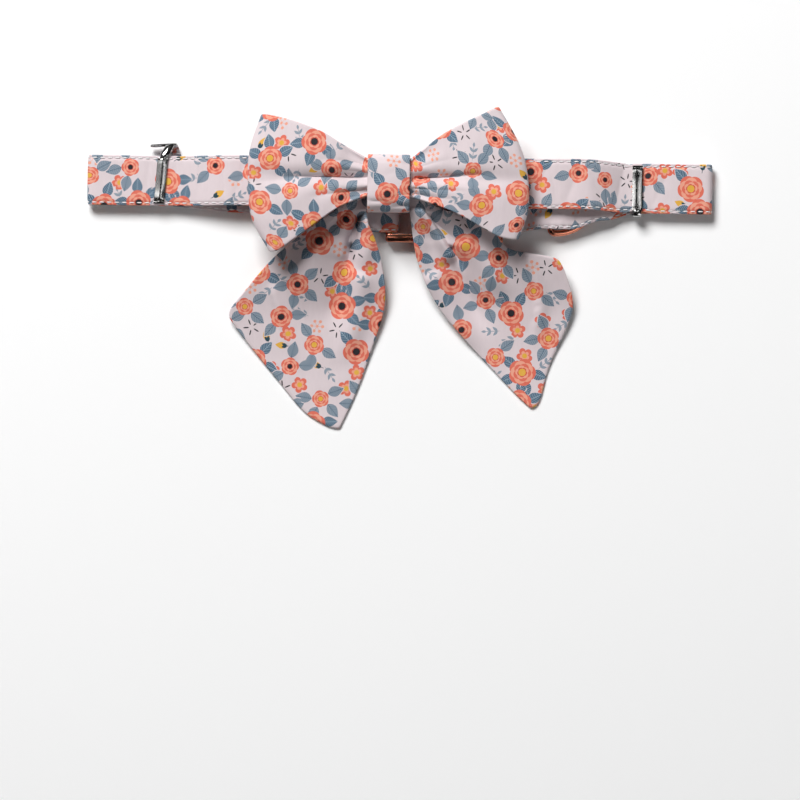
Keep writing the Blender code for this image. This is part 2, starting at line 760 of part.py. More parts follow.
def make_tongue(into, tools, finish):
    """The half with three prongs, which reach into the socket."""
    window_end = BUCKLE_LEFT + BUCKLE_BAR + BUCKLE_WINDOW
    heights = (TONGUE_STEP, BUCKLE_TOP - TONGUE_STEP)
    width = (-HALF_BUCKLE, HALF_BUCKLE)
    tongue = buckle_box(
        "buckle_tongue", (BUCKLE_LEFT, TONGUE_END), width, heights, BUCKLE_ROUNDING, into
    )
    tongue.data.materials.append(finish)
    opening = (BUCKLE_LEFT - GAP, window_end)
    window = (-HALF_WINDOW, HALF_WINDOW)
    combine(tongue, buckle_box("tongue_window", opening, window, THROUGH, 0, tools), "DIFFERENCE")
    bar_of(tongue, "tongue_bar", LEFT_BAR_X, tools)
    root = TONGUE_END - 2 * BUCKLE_ROUNDING
    for name, sides in PRONGS:
        combine(tongue, buckle_box(name, (root, PRONG_TIP), sides, PRONG_HEIGHTS, 0, tools), "UNION")
    pressed = (PRONG_TIP - BUTTON_LENGTH + GAP, PRONG_TIP)
    for name, sides in BUTTONS:
        combine(tongue, buckle_box(name, pressed, sides, BUTTON_HEIGHTS, 0, tools), "UNION")


def make_socket(into, tools, finish):
    """The half with the hollow that takes the prongs, slotted at both sides for their buttons."""
    left = TONGUE_END + GAP
    heights = (0, BUCKLE_TOP)
    width = (-HALF_BUCKLE, HALF_BUCKLE)
    socket = buckle_box(
        "buckle_socket", (left, BUCKLE_RIGHT), width, heights, BUCKLE_ROUNDING, into
    )
    socket.data.materials.append(finish)
    inside = (BUCKLE_WALL - HALF_BUCKLE, HALF_BUCKLE - BUCKLE_WALL)
    hollow = (BUCKLE_WALL, BUCKLE_TOP - BUCKLE_WALL)
    bore = (left - GAP, PRONG_TIP + GAP)
    combine(socket, buckle_box("socket_hollow", bore, inside, hollow, 0, tools), "DIFFERENCE")
    slots = (PRONG_TIP - BUTTON_LENGTH, PRONG_TIP + GAP)
    past_sides = (-HALF_BUCKLE - GAP, HALF_BUCKLE + GAP)
    slot_heights = (BUCKLE_WALL + GAP, BUCKLE_TOP - BUCKLE_WALL - GAP)
    combine(socket, buckle_box("button_slots", slots, past_sides, slot_heights, 0, tools), "DIFFERENCE")
    opening = (BUCKLE_RIGHT - BUCKLE_BAR - SOCKET_WINDOW, BUCKLE_RIGHT + GAP)
    window = (-HALF_WINDOW, HALF_WINDOW)
    combine(socket, buckle_box("socket_window", opening, window, THROUGH, 0, tools), "DIFFERENCE")
    bar_of(socket, "socket_bar", RIGHT_BAR_X, tools)


# The D-ring

RING_CORNER_STEPS = 4
RING_BOW_STEPS = 16


def ring_line():
    """The wire's middle line in the ring's own plane, its straight bar along Y at x = 0."""
    line = []
    reach = RING_REACH - RING_CORNER
    corner_y = RING_HALF - RING_CORNER
    for i in range(RING_CORNER_STEPS + 1):
        angle = math.radians(-180 + 90 * i / RING_CORNER_STEPS)
        x = RING_CORNER * (1 + math.cos(angle))
        line.append((x, RING_CORNER * math.sin(angle) - corner_y))
    for i in range(1, RING_BOW_STEPS):
        angle = math.radians(-90 + 180 * i / RING_BOW_STEPS)
        line.append((RING_CORNER + reach * math.cos(angle), RING_HALF * math.sin(angle)))
    for i in range(RING_CORNER_STEPS + 1):
        angle = math.radians(90 + 90 * i / RING_CORNER_STEPS)
        x = RING_CORNER * (1 + math.cos(angle))
        line.append((x, RING_CORNER * math.sin(angle) + corner_y))
    return line


def make_d_ring(into, finish):
    """The wire ring, its origin on its bar, tipped so that its bow lies on the surface."""
    curve = bpy.data.curves.new("d_ring", "CURVE")
    curve.dimensions = "3D"
    curve.bevel_depth = RING_WIRE / 2
    curve.bevel_resolution = 2
    spline = curve.splines.new("POLY")
    points = ring_line()
    spline.points.add(len(points) - 1)
    for point, (x, y) in zip(spline.points, points):
        point.co = (x, y, 0, 1)
    spline.use_cyclic_u = True
    curve.materials.append(finish)
    obj = bpy.data.objects.new("d_ring", curve)
    obj.location = (RING_X, -RING_SWAY, RING_BAR_Z)
    obj.rotation_euler = (0, math.asin((RING_BAR_Z - RING_WIRE / 2) / RING_REACH), 0)
    into.objects.link(obj)
    return obj


# The clips

# A clip's strip, from the free end of its front leg over its head to the end of its back leg:
# place along the strap's width from its middle (share of the half width), height (share from the
# back leg to the front leg), rise past the strap's edge (share of the head's rise), shift along
# the strap (share of CLIP_LEAN), share of the clip's width
CLIP_STRIP = [
    (-0.88, 1.09, 0.0, 0.00, 1.00),
    (-0.80, 1.00, 0.0, 0.02, 1.00),
    (-0.30, 1.00, 0.0, 0.10, 1.00),
    (0.80, 1.00, 0.0, 0.24, 1.00),
    (0.88, 1.04, 0.0, 0.30, 0.72),
    (1.04, 1.00, 0.1, 0.46, 0.64),
    (1.04, 0.78, 0.8, 0.72, 0.64),
    (1.04, 0.56, 1.0, 0.86, 0.64),
    (1.04, 0.30, 0.8, 0.98, 0.64),
    (1.04, 0.06, 0.2, 1.12, 0.72),
    (0.80, 0.00, 0.0, 1.16, 1.00),
    (-0.80, 0.00, 0.0, 1.16, 1.00),
]


# The shift of the place along the strip that lies at CLIP_X
CLIP_MIDDLE = 0.24
# The row of the strip that carries the lip
LIP_ROW = 7


def clip_line(side):
    """The strip's middle line and its widths. The left clip has its head above the strap."""
    left = side < 0
    back_z = CLIP_STEEL / 2
    front_z = FRONT_END_Z + HALF_STRAP + GAP + CLIP_STEEL / 2
    head = CLIP_HEAD_RISE if left else CLIP_BEND_RISE
    lean = CLIP_LEAN if left else 0
    line = []
    widths = []
    for across, up, rise, shift, width in CLIP_STRIP:
        y = across * (STRAP_WIDTH / 2) + rise * head
        if across > 1:
            y += CLIP_STEEL / 2
        x = side * CLIP_X + lean * (shift - CLIP_MIDDLE)
        line.append(Vector((x, -side * y, back_z + up * (front_z - back_z))))
        widths.append(max(width * CLIP_WIDTH, CLIP_NECK))
    return line, widths


def make_clip(name, side, into, tools, finish):
    """A bent steel strip round both strands. The left one has a lip on its head."""
    line, widths = clip_line(side)
    rings = []
    for i, middle in enumerate(line):
        along = line[min(i + 1, len(line) - 1)] - line[max(i - 1, 0)]
        out = Vector((0, -along.z, along.y)).normalized() * CLIP_STEEL / 2
        half = Vector((widths[i] / 2, 0, 0))
        near, far = middle - half, middle + half
        rings.append([near - out, far - out, far + out, near + out])
    obj = mesh_object(name, loft(rings), into, finish)
    if side < 0:
        tip = line[LIP_ROW]
        half = CLIP_LIP_WIDTH / 2
        low = (tip.x - CLIP_LIP_LENGTH, tip.y - CLIP_LIP_DEPTH, tip.z - half)
        high = (tip.x + CLIP_NECK / 2, tip.y + CLIP_STEEL / 2, tip.z + half)
        combine(obj, rounded_box("clip_lip", low, high, 0, tools), "UNION")


def stand_on_origin(parts, tools):
    """Carry the collar and its cutters by an empty, so that its box's bottom centre is the origin."""
    bpy.context.view_layer.update()
    graph = bpy.context.evaluated_depsgraph_get()
    low = Vector((math.inf, math.inf, math.inf))
    high = -low
    for obj in parts.objects:
        seen = obj.evaluated_get(graph)
        for vertex in seen.to_mesh().vertices:
            place = seen.matrix_world @ vertex.co
            low = Vector(map(min, low, place))
            high = Vector(map(max, high, place))
        seen.to_mesh_clear()
    carrier = bpy.data.objects.new("collar_origin", None)
    for obj in [*parts.objects, *tools.objects]:
        obj.parent = carrier
    carrier.location = (-(low.x + high.x) / 2, -(low.y + high.y) / 2, -low.z)
    parts.objects.link(carrier)


def main():
    clear_scene()
    parts = collection("pet_bow_tie_collar")
    tools = collection("cutters")
    cloth = finish_of("strap_cloth", PRINTED_CLOTH, 0.85, 0.0)
    bow_cloth = finish_of("bow_cloth", PRINTED_CLOTH, 0.85, 0.0)
    tail_cloth = finish_of("tail_cloth", PRINTED_CLOTH, 0.85, 0.0)
    knot_cloth = finish_of("knot_cloth", PRINTED_CLOTH, 0.85, 0.0)
    rose_gold = finish_of("rose_gold", ROSE_GOLD, 0.25, 1.0)
    ring_gold = finish_of("ring_rose_gold", ROSE_GOLD, 0.2, 1.0)
    steel = finish_of("bright_steel", STEEL, 0.2, 1.0)
    make_strap(parts, cloth)
    make_bow(parts, bow_cloth)
    make_tail("tail_left", -1, parts, tail_cloth)
    make_tail("tail_right", 1, parts, tail_cloth)
    make_knot_band(parts, knot_cloth)
    make_tongue(parts, tools, rose_gold)
    make_socket(parts, tools, rose_gold)
    make_d_ring(parts, ring_gold)
    make_clip("strap_clip_left", -1, parts, tools, steel)
    make_clip("strap_clip_right", 1, parts, tools, steel)
    stand_on_origin(parts, tools)


main()
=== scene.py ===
# %% [markdown]
# # Dressing a pet bow tie collar
#
# The collar lies flat: a printed cotton strap pressed into a loop, a sailor bow with two tails,
# a rose gold buckle and ring, and two steel spring clips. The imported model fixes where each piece
# is. This script only gives the pieces their fine form and their finish.

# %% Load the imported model
import json
import math

import bmesh
import bpy
import numpy as np
from mathutils import Matrix, Vector
from mathutils import noise as hills

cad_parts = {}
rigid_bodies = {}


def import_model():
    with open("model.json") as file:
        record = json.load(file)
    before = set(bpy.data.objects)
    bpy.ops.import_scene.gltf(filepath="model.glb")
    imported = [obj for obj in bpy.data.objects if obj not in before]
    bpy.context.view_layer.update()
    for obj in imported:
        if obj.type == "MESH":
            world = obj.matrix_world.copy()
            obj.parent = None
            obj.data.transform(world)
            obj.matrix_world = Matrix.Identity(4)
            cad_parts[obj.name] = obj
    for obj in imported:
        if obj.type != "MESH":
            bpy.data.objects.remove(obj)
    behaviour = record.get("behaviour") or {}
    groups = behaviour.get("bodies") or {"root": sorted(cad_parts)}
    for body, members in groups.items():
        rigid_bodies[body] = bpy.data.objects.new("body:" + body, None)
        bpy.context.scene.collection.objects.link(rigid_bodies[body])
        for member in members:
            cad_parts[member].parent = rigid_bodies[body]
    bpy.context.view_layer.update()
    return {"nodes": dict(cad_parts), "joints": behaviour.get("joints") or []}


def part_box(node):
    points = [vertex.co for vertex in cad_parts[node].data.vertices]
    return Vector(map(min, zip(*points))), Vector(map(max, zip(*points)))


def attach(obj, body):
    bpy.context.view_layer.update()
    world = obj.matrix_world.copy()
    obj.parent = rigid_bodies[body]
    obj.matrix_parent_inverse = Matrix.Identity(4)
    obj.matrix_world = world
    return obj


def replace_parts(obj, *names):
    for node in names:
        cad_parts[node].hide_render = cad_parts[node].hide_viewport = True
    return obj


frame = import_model()
print("nodes:", ", ".join(sorted(frame["nodes"])))

# %% [markdown]
# ## Sizes that the pieces share
#
# Every piece is drawn in metres. The strap runs along X at the middle of the knot band, and the
# floor is z = 0. The sizes below are those of the solids, so each fine piece lies in its own space.

# %% Shared sizes
GAP = 0.0003
STRAP_WIDTH = 0.020
STRAP_WALL = 0.0024
CLOTH_WALL = 0.0012
REAR_SWAY = 0.0092
knot_low, knot_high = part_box("knot_band")
LINE_Y = (knot_low.y + knot_high.y) / 2
BOW_X = (knot_low.x + knot_high.x) / 2
KNOT_WIDTH = knot_high.x - knot_low.x
RING_PIVOT = Vector(frame["joints"][0]["pos_m"])
RING_X = RING_PIVOT.x
ROOT = frame["joints"][0]["parent"]
RING_BODY = frame["joints"][0]["child"]
print(f"strap line at y = {LINE_Y * 1000:.2f} mm, knot at x = {BOW_X * 1000:.2f} mm")


# %% Readings of short tables
def ease(share):
    return share * share * (3 - 2 * share)


def risen(share, until):
    """From 0 to 1, eased, over the first part of the way."""
    return ease(min(share / until, 1.0))


def read_table(rows, at, column=1):
    """The value at a place along a table whose first column rises, eased between its rows."""
    if at <= rows[0][0]:
        return rows[0][column]
    for low, high in zip(rows, rows[1:]):
        if at <= high[0]:
            share = (at - low[0]) / (high[0] - low[0])
            return low[column] + (high[column] - low[column]) * ease(share)
    return rows[-1][column]


def smooth_reading(rows, at):
    """Reading of a two-column table by a smooth curve through its rows."""
    k = 0
    while k < len(rows) - 2 and at > rows[k + 1][0]:
        k += 1
    slopes = []
    for i in range(len(rows)):
        low, high = rows[max(i - 1, 0)], rows[min(i + 1, len(rows) - 1)]
        slopes.append((high[1] - low[1]) / (high[0] - low[0]))
    (x0, y0), (x1, y1) = rows[k], rows[k + 1]
    span = x1 - x0
    t = (at - x0) / span
    rise = (2 * t**3 - 3 * t**2 + 1) * y0 + (3 * t**2 - 2 * t**3) * y1
    return rise + span * ((t**3 - 2 * t**2 + t) * slopes[k] + (t**3 - t**2) * slopes[k + 1])


def smooth_line(points, count):
    """Points spaced evenly by parameter along a smooth curve through the given points."""
    padded = [2 * points[0] - points[1], *points, 2 * points[-1] - points[-2]]
    spans = len(points) - 1
    line = []
    for i in range(count):
        at = spans * i / (count - 1)
        k = min(int(at), spans - 1)
        t = at - k
        a, b, c, d = padded[k : k + 4]
        bend = 2 * a - 5 * b + 4 * c - d
        twist = 3 * b - a - 3 * c + d
        line.append(0.5 * (2 * b + (c - a) * t + bend * t**2 + twist * t**3))
    return line


def even_line(points, spacing=None, shares=None):
    """Points at even spacing, or at shares of its length, along a line of close points."""
    along = [0.0]
    for a, b in zip(points, points[1:]):
        along.append(along[-1] + (b - a).length)
    if shares is None:
        count = max(int(along[-1] / spacing), 2)
        shares = [i / count for i in range(count + 1)]
    line = []
    k = 0
    for place in shares:
        at = along[-1] * place
        while k < len(points) - 2 and along[k + 1] < at:
            k += 1
        line.append(points[k].lerp(points[k + 1], (at - along[k]) / (along[k + 1] - along[k])))
    return line


# %% [markdown]
# ## Cloth as a grid of rows
#
# Each cloth piece is a grid of points that a rule works out. Its UV map holds where each point lay
# while the cloth was flat, in metres, so that the print and the weave keep their real scale on
# every fold. Solidify gives the wall, and one level of subdivision rounds the turned edges.

# %% Cloth pieces
def flat_places(rows):
    """Where each point of a draped grid lay on the flat cloth, along it and across it."""
    grid = np.array([[tuple(p) for p in row] for row in rows])
    steps = np.linalg.norm(np.diff(grid, axis=1), axis=2)
    across = np.concatenate([np.zeros((len(grid), 1)), np.cumsum(steps, axis=1)], axis=1)
    middle = grid.shape[1] // 2
    across -= across[:, middle : middle + 1]
    spine = np.linalg.norm(np.diff(grid[:, middle], axis=0), axis=1)
    along = np.concatenate([[0.0], np.cumsum(spine)])
    return [[(along[i], v) for v in across[i]] for i in range(len(rows))]


def new_piece(name, mesh, finish):
    obj = bpy.data.objects.new(name, mesh)
    bpy.context.scene.collection.objects.link(obj)
    mesh.materials.clear()
    mesh.materials.append(finish)
    return obj


def settled(obj, hard_edge=None):
    """The piece with its modifiers worked into a plain mesh, smooth but for edges past this angle."""
    graph = bpy.context.evaluated_depsgraph_get()
    mesh = bpy.data.meshes.new_from_object(obj.evaluated_get(graph))
    obj.modifiers.clear()
    obj.data = mesh
    mesh.shade_smooth()
    if hard_edge:
        mesh.set_sharp_from_angle(angle=math.radians(hard_edge))
    triangles = sum(len(face.vertices) - 2 for face in mesh.polygons)
    print(f"{obj.name}: {triangles} triangles")
    return obj


def cloth_piece(name, rows, places, finish, closed=False):
    """A walled cloth from rows of points and the flat place of each one."""
    bm = bmesh.new()
    uv = bm.loops.layers.uv.new("cloth")
    made = [[bm.verts.new(p) for p in row] for row in rows]
    last = len(rows) if closed else len(rows) - 1
    step = places[-1][0][0] - places[-2][0][0] if closed else 0
    for i in range(last):
        j = (i + 1) % len(rows)
        for k in range(len(rows[0]) - 1):
            corners = ((i, k), (i, k + 1), (j, k + 1), (j, k))
            face = bm.faces.new([made[a][b] for a, b in corners])
            for loop, (a, b) in zip(face.loops, corners):
                u, v = places[a][b]
                if j == 0 and a == 0:
                    u = places[-1][0][0] + step
                loop[uv].uv = (u, v)
    bmesh.ops.recalc_face_normals(bm, faces=bm.faces)
    mesh = bpy.data.meshes.new(name)
    bm.to_mesh(mesh)
    bm.free()
    obj = new_piece(name, mesh, finish)
    thick = obj.modifiers.new("wall", "SOLIDIFY")
    thick.thickness = CLOTH_WALL
    thick.offset = 0
    rounding = obj.modifiers.new("rounding", "SUBSURF")
    rounding.levels = 1
    rounding.render_levels = 1
    return settled(obj)


def crease(distance, width):
    """Depth of a sharp fold at a distance from its line, as a share of its full depth."""
    return math.exp(-math.sqrt(distance**2 + (0.15 * width) ** 2) / width)


def ripple(x, y, size, seed):
    """Soft uneven height from -1 to 1, with hills about this size."""
    return hills.noise(Vector((x / size, y / size, seed)))


# %% [markdown]
# ## Node trees written as sums
#
# A print and a weave are long sums of small nodes. A thin helper turns each sum into one line, so
# that the drawing can be read.

# %% Helper for node trees
class Drawing:
    """Adds nodes to one tree. A value is a number, a colour, a vector or another node's socket."""

    def __init__(self, tree):
        self.tree = tree

    def node(self, kind, **settings):
        made = self.tree.nodes.new(kind)
        for key, value in settings.items():
            setattr(made, key, value)
        return made

    def put(self, value, socket):
        if isinstance(value, bpy.types.NodeSocket):
            self.tree.links.new(value, socket)
        else:
            socket.default_value = value

    def sum(self, operation, *values):
        made = self.node("ShaderNodeMath", operation=operation)
        for value, socket in zip(values, made.inputs):
            self.put(value, socket)
        return made.outputs[0]

    def vector(self, operation, *values):
        made = self.node("ShaderNodeVectorMath", operation=operation)
        for value, socket in zip(values, made.inputs):
            self.put(value, socket)
        return made.outputs["Value" if operation == "LENGTH" else "Vector"]

    def scaled(self, vector, factor):
        made = self.node("ShaderNodeVectorMath", operation="SCALE")
        self.put(vector, made.inputs[0])
        self.put(factor, made.inputs["Scale"])
        return made.outputs["Vector"]

    def turned(self, vector, angle):
        made = self.node("ShaderNodeVectorRotate", rotation_type="Z_AXIS")
        self.put(vector, made.inputs["Vector"])
        self.put(angle, made.inputs["Angle"])
        return made.outputs["Vector"]

    def split(self, vector):
        made = self.node("ShaderNodeSeparateXYZ")
        self.put(vector, made.inputs[0])
        return made.outputs[0], made.outputs[1]

    def join(self, x, y):
        made = self.node("ShaderNodeCombineXYZ")
        self.put(x, made.inputs[0])
        self.put(y, made.inputs[1])
        return made.outputs[0]

    def over(self, below, above, mask):
        """The colour above where the mask is 1, and the one below elsewhere."""
        made = self.node("ShaderNodeMix", data_type="RGBA")
        self.put(mask, made.inputs[0])
        self.put(below, made.inputs[6])
        self.put(above, made.inputs[7])
        return made.outputs[2]

    def noise(self, vector, scale, detail):
        made = self.node("ShaderNodeTexNoise")
        self.put(vector, made.inputs["Vector"])
        made.inputs["Scale"].default_value = scale
        made.inputs["Detail"].default_value = detail
        return made.outputs["Fac"]


def new_group(name, inputs, outputs):
    """A shader node group with named sockets: (name, kind, default) in, (name, kind) out."""
    tree = bpy.data.node_groups.new(name, "ShaderNodeTree")
    for label, kind, default in inputs:
        made = tree.interface.new_socket(label, in_out="INPUT", socket_type=kind)
        if default is not None:
            made.default_value = default
    for label, kind in outputs:
        tree.interface.new_socket(label, in_out="OUTPUT", socket_type=kind)
    draw = Drawing(tree)
    return draw, draw.node("NodeGroupInput").outputs, draw.node("NodeGroupOutput").inputs


def use_group(draw, name, **values):
    """Place a group in a tree, with values for its named inputs, and return its outputs."""
    made = draw.node("ShaderNodeGroup", node_tree=bpy.data.node_groups[name])
    for label, value in values.items():
        draw.put(value, made.inputs[label.replace("_", " ")])
    return made.outputs


NUMBER, VECTOR, COLOUR = "NodeSocketFloat", "NodeSocketVector", "NodeSocketColor"


def ink(red, green, blue):
    """A colour as seen on screen, from 0 to 255, as the shader's own numbers."""

    def linear(level):
        level /= 255
        return level / 12.92 if level < 0.04045 else ((level + 0.055) / 1.055) ** 2.4

    return (linear(red), linear(green), linear(blue), 1.0)


# %% [markdown]
# ## The print
#
# The cotton has a small all-over floral, called a ditsy: coral blossoms with slate leaves, and
# buds, berries, sprigs and short strokes between them on a pale pink ground. A repeat could be an
# image, but a rule is sharper at any distance. Each motif is a group that answers whether a place
# is inside it. A Voronoi texture gives each place its nearest centre, which scatters the motifs.

# %% Petals and leaves as groups
PETAL_CURVE = 0.6
LEAF_BELLY = 0.8
RIB_HALF = 0.00011
VEIN_SLANT = 0.8
VEIN_SPACING = 0.00085
VEIN_SHARE = 0.22


def make_petals():
    """Round petals with notches between them: whether a place lies inside one."""
    inputs = [
        ("Place", VECTOR, None),
        ("Radius", NUMBER, 0.004),
        ("Petals", NUMBER, 5),
        ("Notch", NUMBER, 0.3),
    ]
    draw, given, out = new_group("petals", inputs, [("Mask", NUMBER)])
    x, y = draw.split(given["Place"])
    reach = draw.vector("LENGTH", given["Place"])
    turn = draw.sum("MULTIPLY", draw.sum("ARCTAN2", y, x), draw.sum("MULTIPLY", given["Petals"], 0.5))
    lobe = draw.sum("POWER", draw.sum("ABSOLUTE", draw.sum("COSINE", turn)), PETAL_CURVE)
    cut = draw.sum("MULTIPLY", given["Notch"], draw.sum("SUBTRACT", 1.0, lobe))
    edge = draw.sum("MULTIPLY", given["Radius"], draw.sum("SUBTRACT", 1.0, cut))
    draw.put(draw.sum("LESS_THAN", reach, edge), out["Mask"])


def make_leaf():
    """A pointed leaf along +X: whether a place lies inside it, and whether on one of its veins."""
    inputs = [("Place", VECTOR, None), ("Length", NUMBER, 0.006), ("Width", NUMBER, 0.003)]
    draw, given, out = new_group("leaf", inputs, [("Mask", NUMBER), ("Vein", NUMBER)])
    x, y = draw.split(given["Place"])
    share = draw.node("ShaderNodeClamp")
    draw.put(draw.sum("DIVIDE", x, given["Length"]), share.inputs[0])
    side = draw.sum("ABSOLUTE", y)
    belly = draw.sum("POWER", share.outputs[0], LEAF_BELLY)
    half = draw.sum("SINE", draw.sum("MULTIPLY", belly, math.pi))
    half = draw.sum("MULTIPLY", half, draw.sum("MULTIPLY", given["Width"], 0.5))
    mask = draw.sum("LESS_THAN", side, half)
    rib = draw.sum("LESS_THAN", side, RIB_HALF)
    slant = draw.sum("SUBTRACT", x, draw.sum("MULTIPLY", side, VEIN_SLANT))
    step = draw.sum("FRACT", draw.sum("DIVIDE", slant, VEIN_SPACING))
    veins = draw.sum("MAXIMUM", rib, draw.sum("LESS_THAN", step, VEIN_SHARE))
    draw.put(mask, out["Mask"])
    draw.put(draw.sum("MULTIPLY", veins, mask), out["Vein"])


make_petals()
make_leaf()
print("motif groups:", [tree.name for tree in bpy.data.node_groups])


# %% The scatter
def make_scatter(name, feature):
    """The nearest motif's centre, or the second nearest, which a large motif may reach past."""
    inputs = [("Place", VECTOR, None), ("Spacing", NUMBER, 0.02), ("Scatter", NUMBER, 0.3)]
    outputs = [("Local", VECTOR), ("Centre", VECTOR), ("Kind", NUMBER), ("Chance", NUMBER)]
    draw, given, out = new_group(name, inputs, outputs)
    cells = draw.node("ShaderNodeTexVoronoi", voronoi_dimensions="2D", feature=feature)
    draw.put(given["Place"], cells.inputs["Vector"])
    draw.put(draw.sum("DIVIDE", 1.0, given["Spacing"]), cells.inputs["Scale"])
    draw.put(given["Scatter"], cells.inputs["Randomness"])
    random = draw.node("ShaderNodeSeparateColor")
    draw.put(cells.outputs["Color"], random.inputs[0])
    local = draw.vector("SUBTRACT", given["Place"], cells.outputs["Position"])
    draw.put(draw.turned(local, draw.sum("MULTIPLY", random.outputs[0], 2 * math.pi)), out["Local"])
    draw.put(cells.outputs["Position"], out["Centre"])
    draw.put(random.outputs[1], out["Kind"])
    draw.put(random.outputs[2], out["Chance"])


make_scatter("nearest_motif", "F1")
make_scatter("second_motif", "F2")
print("groups so far:", [tree.name for tree in bpy.data.node_groups])

# %% [markdown]
# The floral itself stacks the motifs as a printer's screens would: the ground first, then berries,
# sprigs, buds and strokes, then leaves, and the large blossoms last. A small motif shows only where
# its centre is far enough from the nearest large blossom.

# %% Inks and the motifs' spacing
INKS = {
    "ground": ink(217, 203, 206),
    "coral": ink(220, 108, 88),
    "rose": ink(206, 84, 68),
    "peach": ink(232, 160, 136),
    "mustard": ink(222, 170, 66),
    "slate": ink(138, 150, 162),
    "pale_slate": ink(150, 168, 182),
    "teal": ink(70, 98, 120),
    "deep_teal": ink(34, 66, 78),
    "night": ink(32, 28, 34),
}
BLOSSOM_SPACING = 0.0160
BLOSSOM_SCATTER = 0.52
SMALL_SPACING = 0.0078
SMALL_SCATTER = 0.5
SMALL_CLEARANCE = 0.0066
BLOSSOM_CELLS = {"Spacing": BLOSSOM_SPACING, "Scatter": BLOSSOM_SCATTER}
print(f"{len(INKS)} inks, a large blossom about every {BLOSSOM_SPACING * 1000:.0f} mm")


# %% Places and masks inside a motif
def sector(draw, local, count):
    """Turn each of so many equal sectors round a centre onto +X. Also gives the sector's number."""
    x, y = draw.split(local)
    width = 2 * math.pi / count
    turn = draw.sum("DIVIDE", draw.sum("ARCTAN2", y, x), width)
    number = draw.sum("ROUND", turn)
    angle = draw.sum("MULTIPLY", number, -width)
    return draw.turned(local, angle), number


def shifted(draw, local, x):
    return draw.vector("SUBTRACT", local, (x, 0, 0))


def stroke(draw, local, start, end, half):
    """Mask of a straight stroke along +X from start to end, with round sides."""
    x, y = draw.split(local)
    middle, reach = (start + end) / 2, (end - start) / 2
    along = draw.sum("DIVIDE", draw.sum("ABSOLUTE", draw.sum("SUBTRACT", x, middle)), reach)
    taper = draw.sum("SUBTRACT", 1.0, draw.sum("POWER", along, 4.0))
    return draw.sum("LESS_THAN", draw.sum("ABSOLUTE", y), draw.sum("MULTIPLY", taper, half))


def in_band(draw, value, low, high):
    return draw.sum("MULTIPLY", draw.sum("GREATER_THAN", value, low), draw.sum("LESS_THAN", value, high))


def disc(draw, local, radius):
    return draw.sum("LESS_THAN", draw.vector("LENGTH", local), radius)


# %% The small motifs
# Which of the small motifs a centre carries, as a range of its random number
KINDS = {
    "small_blossom": (0.0, 0.20),
    "berries": (0.20, 0.48),
    "sprig": (0.48, 0.72),
    "bud": (0.72, 0.86),
    "strokes": (0.86, 1.0),
}
# Places and sizes on the flat cloth. A stroke has its start, its end and half its width.
BERRY_STALK = (0.0, 0.0019, 0.00008)
BERRY_PLACE = 0.0022
BERRY_RADIUS = 0.00062
BERRY_HEART = 0.00055
SPRIG_STEM = (-0.0036, 0.0034, 0.00012)
SPRIG_LEAF_PLACES = (-0.0024, 0.0002)
SPRIG_LEAF_TURN = -0.75
SPRIG_LEAF = {"Length": 0.0026, "Width": 0.0011}
SPRIG_TIP_PLACE = 0.0022
SPRIG_TIP = {"Length": 0.0021, "Width": 0.0010}
SMALL_PETALS = {"Radius": 0.0033, "Petals": 5.0, "Notch": 0.42}
INNER_PETALS = {"Radius": 0.0020, "Petals": 5.0, "Notch": 0.5}
SMALL_HEART = 0.0010
BUD_PLACE = -0.0018
BUD = {"Length": 0.0046, "Width": 0.0027}
SEPAL_PLACE = -0.0021
SEPAL_TURN = -0.32
SEPAL = {"Length": 0.0024, "Width": 0.0013}
BUD_STALK = (-0.0034, -0.0012, 0.00013)
RAY = (0.0010, 0.0034, 0.00026)


